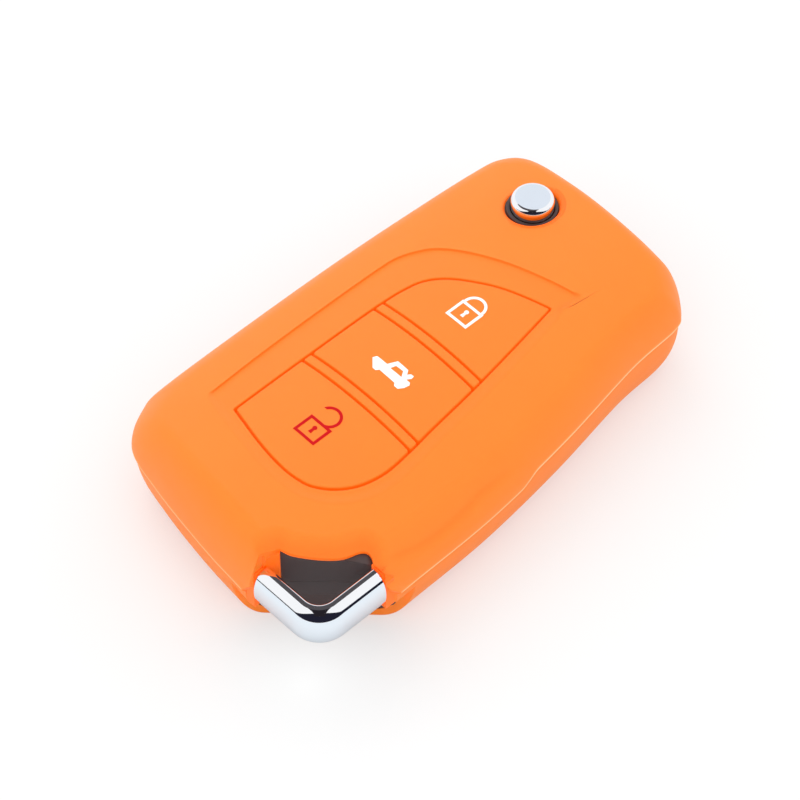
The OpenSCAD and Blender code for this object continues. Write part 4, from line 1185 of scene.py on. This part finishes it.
class KEYCOVER_OT_key(bpy.types.Operator):
    """Finish the key's own pieces and the printed symbols, which keep their modelled shape"""

    bl_idname = "keycover.key"
    bl_label = "Key and symbols"

    def execute(self, context):
        slot_of = {part["node"]: part["material_slot"] for part in frame["record"]["subparts"]}
        for name, node in frame["nodes"].items():
            if not node.hide_render:
                node.data.materials.clear()
                node.data.materials.append(finishes()[slot_of[name]])
        return {"FINISHED"}


class KEYCOVER_OT_stage(bpy.types.Operator):
    """Set up the white floor, the soft light and the camera"""

    bl_idname = "keycover.stage"
    bl_label = "Stage"

    def execute(self, context):
        stage = context.scene.key_stage
        lens = bpy.data.cameras.new("camera")
        lens.lens, lens.sensor_width = stage.lens, 36
        context.scene.camera = self.aimed(lens, stage.camera_place, stage.camera_target)
        self.world(context, stage)
        self.floor(stage)
        self.lamp("key_light", (-0.42, 0.12, 0.55), 0.45, stage.key_power)
        self.lamp("fill_light", (0.3, -0.5, 0.6), 0.5, stage.fill_power)
        self.cards(stage)
        context.scene.view_settings.view_transform = "Standard"
        return {"FINISHED"}

    def aimed(self, data, place, target):
        """A camera or lamp at a place, turned to a target."""
        obj = bpy.data.objects.new(data.name, data)
        obj.location = place
        obj.rotation_euler = (Vector(target) - Vector(place)).to_track_quat("-Z", "Y").to_euler()
        bpy.context.scene.collection.objects.link(obj)
        return obj

    def lamp(self, name, place, size, power):
        """A round lamp that no mirror shows, turned to the object."""
        light = bpy.data.lights.new(name, "AREA")
        light.shape, light.size, light.energy = "DISK", size, power
        self.aimed(light, place, (0, 0, 0)).visible_glossy = False

    def world(self, context, stage):
        """White where the camera, a mirror or glass sees it, and dimmer as a light."""
        world = bpy.data.worlds.new("studio")
        context.scene.world = world
        world.use_nodes = True
        m = Nodes(world.node_tree)
        shown = m.add("Math", {"operation": "MAXIMUM"}, {0: m.ray("Camera"), 1: m.ray("Glossy")})
        strength = m.add("MapRange", {}, {"Value": shown, "To Min": stage.sky, "To Max": 1.0})
        background = m.tree.nodes["Background"].inputs
        m.put(background["Color"], (1, 1, 1))
        m.put(background["Strength"], strength)

    def floor(self, stage):
        """A wide white sheet that glows a little for the camera, so that it is white outside the
        object's shadow, and more in a painted pool of light under the loop. Mirrors see it a darker
        bluish grey, a painted reflection."""
        m = Shader("white_sheet")
        # Painted reflection: mirrors see the sheet a darker bluish grey
        m.set(Base_Color=m.blend(m.ray("Glossy"), (0.88, 0.88, 0.88), (0.74, 0.8, 0.84)),
              Roughness=0.9, Specular_IOR_Level=0.0)
        # Painted pool of light under the loop, fading out over the pool's radius
        away = m.add("VectorMath", {"operation": "DISTANCE"}, {0: m.place, 1: PAINTED_POOL_PLACE}, "Value")
        pool = (1.0 - away * (1 / stage.painted_pool_radius)).held()
        share = stage.lift + (1 - stage.lift) * pool * pool
        white = m.add("Emission", {}, {"Color": (1, 1, 1), "Strength": 1.0})
        mix = m.add("MixShader", {}, {0: share * m.ray("Camera"), 1: Wire(m, m.main.outputs[0]),
                                      2: white})
        m.put(m.tree.nodes["Material Output"].inputs["Surface"], mix)
        side = np.linspace(-0.5, 0.5, 9) * stage.floor_size
        x, y = np.meshgrid(side, side)
        new_sheet("floor", np.stack([x, y, 0 * x], -1), m.material)

    def cards(self, stage):
        """Cards that only mirrors see, about the loop: dark ones as a band over the horizon,
        higher before the camera, as a column where the camera stands, and as a small disk
        overhead, and a pale disk behind the loop."""
        view = np.array(stage.camera_place) - np.array(LOOP_EYE)
        ahead = math.atan2(view[1], view[0])
        u, v = np.meshgrid(np.linspace(-1, 1, 61), np.linspace(0, 1, 9))
        turn, lean, disk = 1.6 * u, math.pi * (u + 1), 0.36 * v
        high = 0.07 + 0.95 * ramp(1.42 - np.abs(turn))
        for name, radius, azimuth, elevation, side, tint in (
                ("horizon_card", 0.7, turn, 0.01 + high * v, 0 * u, (0.016, 0.016, 0.03)),
                ("camera_card", 0.6, 0 * u, 0.7 + v, 0.24 * u, (0.02, 0.017, 0.022)),
                ("ceiling_card", 0.2, 0 * u, 1.98 + disk * np.cos(lean), disk * np.sin(lean),
                 (0.085, 0.078, 0.084)),
                ("pale_card", 0.9, math.pi - 0.1 + 0 * u, 0.84 + disk * np.cos(lean),
                 disk * np.sin(lean), (0.8, 0.86, 0.93))):
            self.card(name, radius, ahead + azimuth, elevation, side, tint)

    def card(self, name, radius, azimuth, elevation, side, tint):
        """A sheet on a sphere about the loop: each point lies in the direction that is turned to
        an azimuth, raised by an elevation and leaned aside by an angle."""
        flat = np.stack([np.cos(azimuth), np.sin(azimuth), 0 * azimuth], -1)
        across = np.stack([-np.sin(azimuth), np.cos(azimuth), 0 * azimuth], -1)
        way = flat * np.cos(elevation)[..., None] + np.sin(elevation)[..., None] * (0, 0, 1)
        way = way * np.cos(side)[..., None] + across * np.sin(side)[..., None]
        glow = Shader(name).set(Base_Color=(0, 0, 0), Roughness=1.0, Specular_IOR_Level=0.0,
                                Emission_Color=tint, Emission_Strength=1.0)
        obj = new_sheet(name, np.array(LOOP_EYE) + radius * way, glow)
        obj.visible_camera = obj.visible_diffuse = obj.visible_shadow = False
        obj.visible_transmission = False


class KEYCOVER_PT_panel(bpy.types.Panel):
    """The sizes and colours of the key fob cover"""

    bl_label = "Key Cover"
    bl_idname = "KEYCOVER_PT_panel"
    bl_space_type = "VIEW_3D"
    bl_region_type = "UI"
    bl_category = "Key Cover"

    def draw(self, context):
        for step in STEPS:
            self.layout.operator(step.bl_idname)
        for name, group in GROUPS.items():
            box = self.layout.box()
            for key in group.__annotations__:
                box.prop(getattr(context.scene, name), key)


STEPS = [KEYCOVER_OT_skin, KEYCOVER_OT_pads, KEYCOVER_OT_ring_loop, KEYCOVER_OT_release_cap,
         KEYCOVER_OT_key, KEYCOVER_OT_stage]


def register():
    for cls in [*GROUPS.values(), *STEPS, KEYCOVER_PT_panel]:
        bpy.utils.register_class(cls)
    for name, group in GROUPS.items():
        setattr(bpy.types.Scene, name, PointerProperty(type=group))


def unregister():
    for name in GROUPS:
        delattr(bpy.types.Scene, name)
    for cls in reversed([*GROUPS.values(), *STEPS, KEYCOVER_PT_panel]):
        bpy.utils.unregister_class(cls)


def main():
    """Registers the add-on and builds everything in order."""
    register()
    for step in STEPS:
        group, name = step.bl_idname.split(".")
        getattr(getattr(bpy.ops, group), name)()


if __name__ == "__main__":
    main()
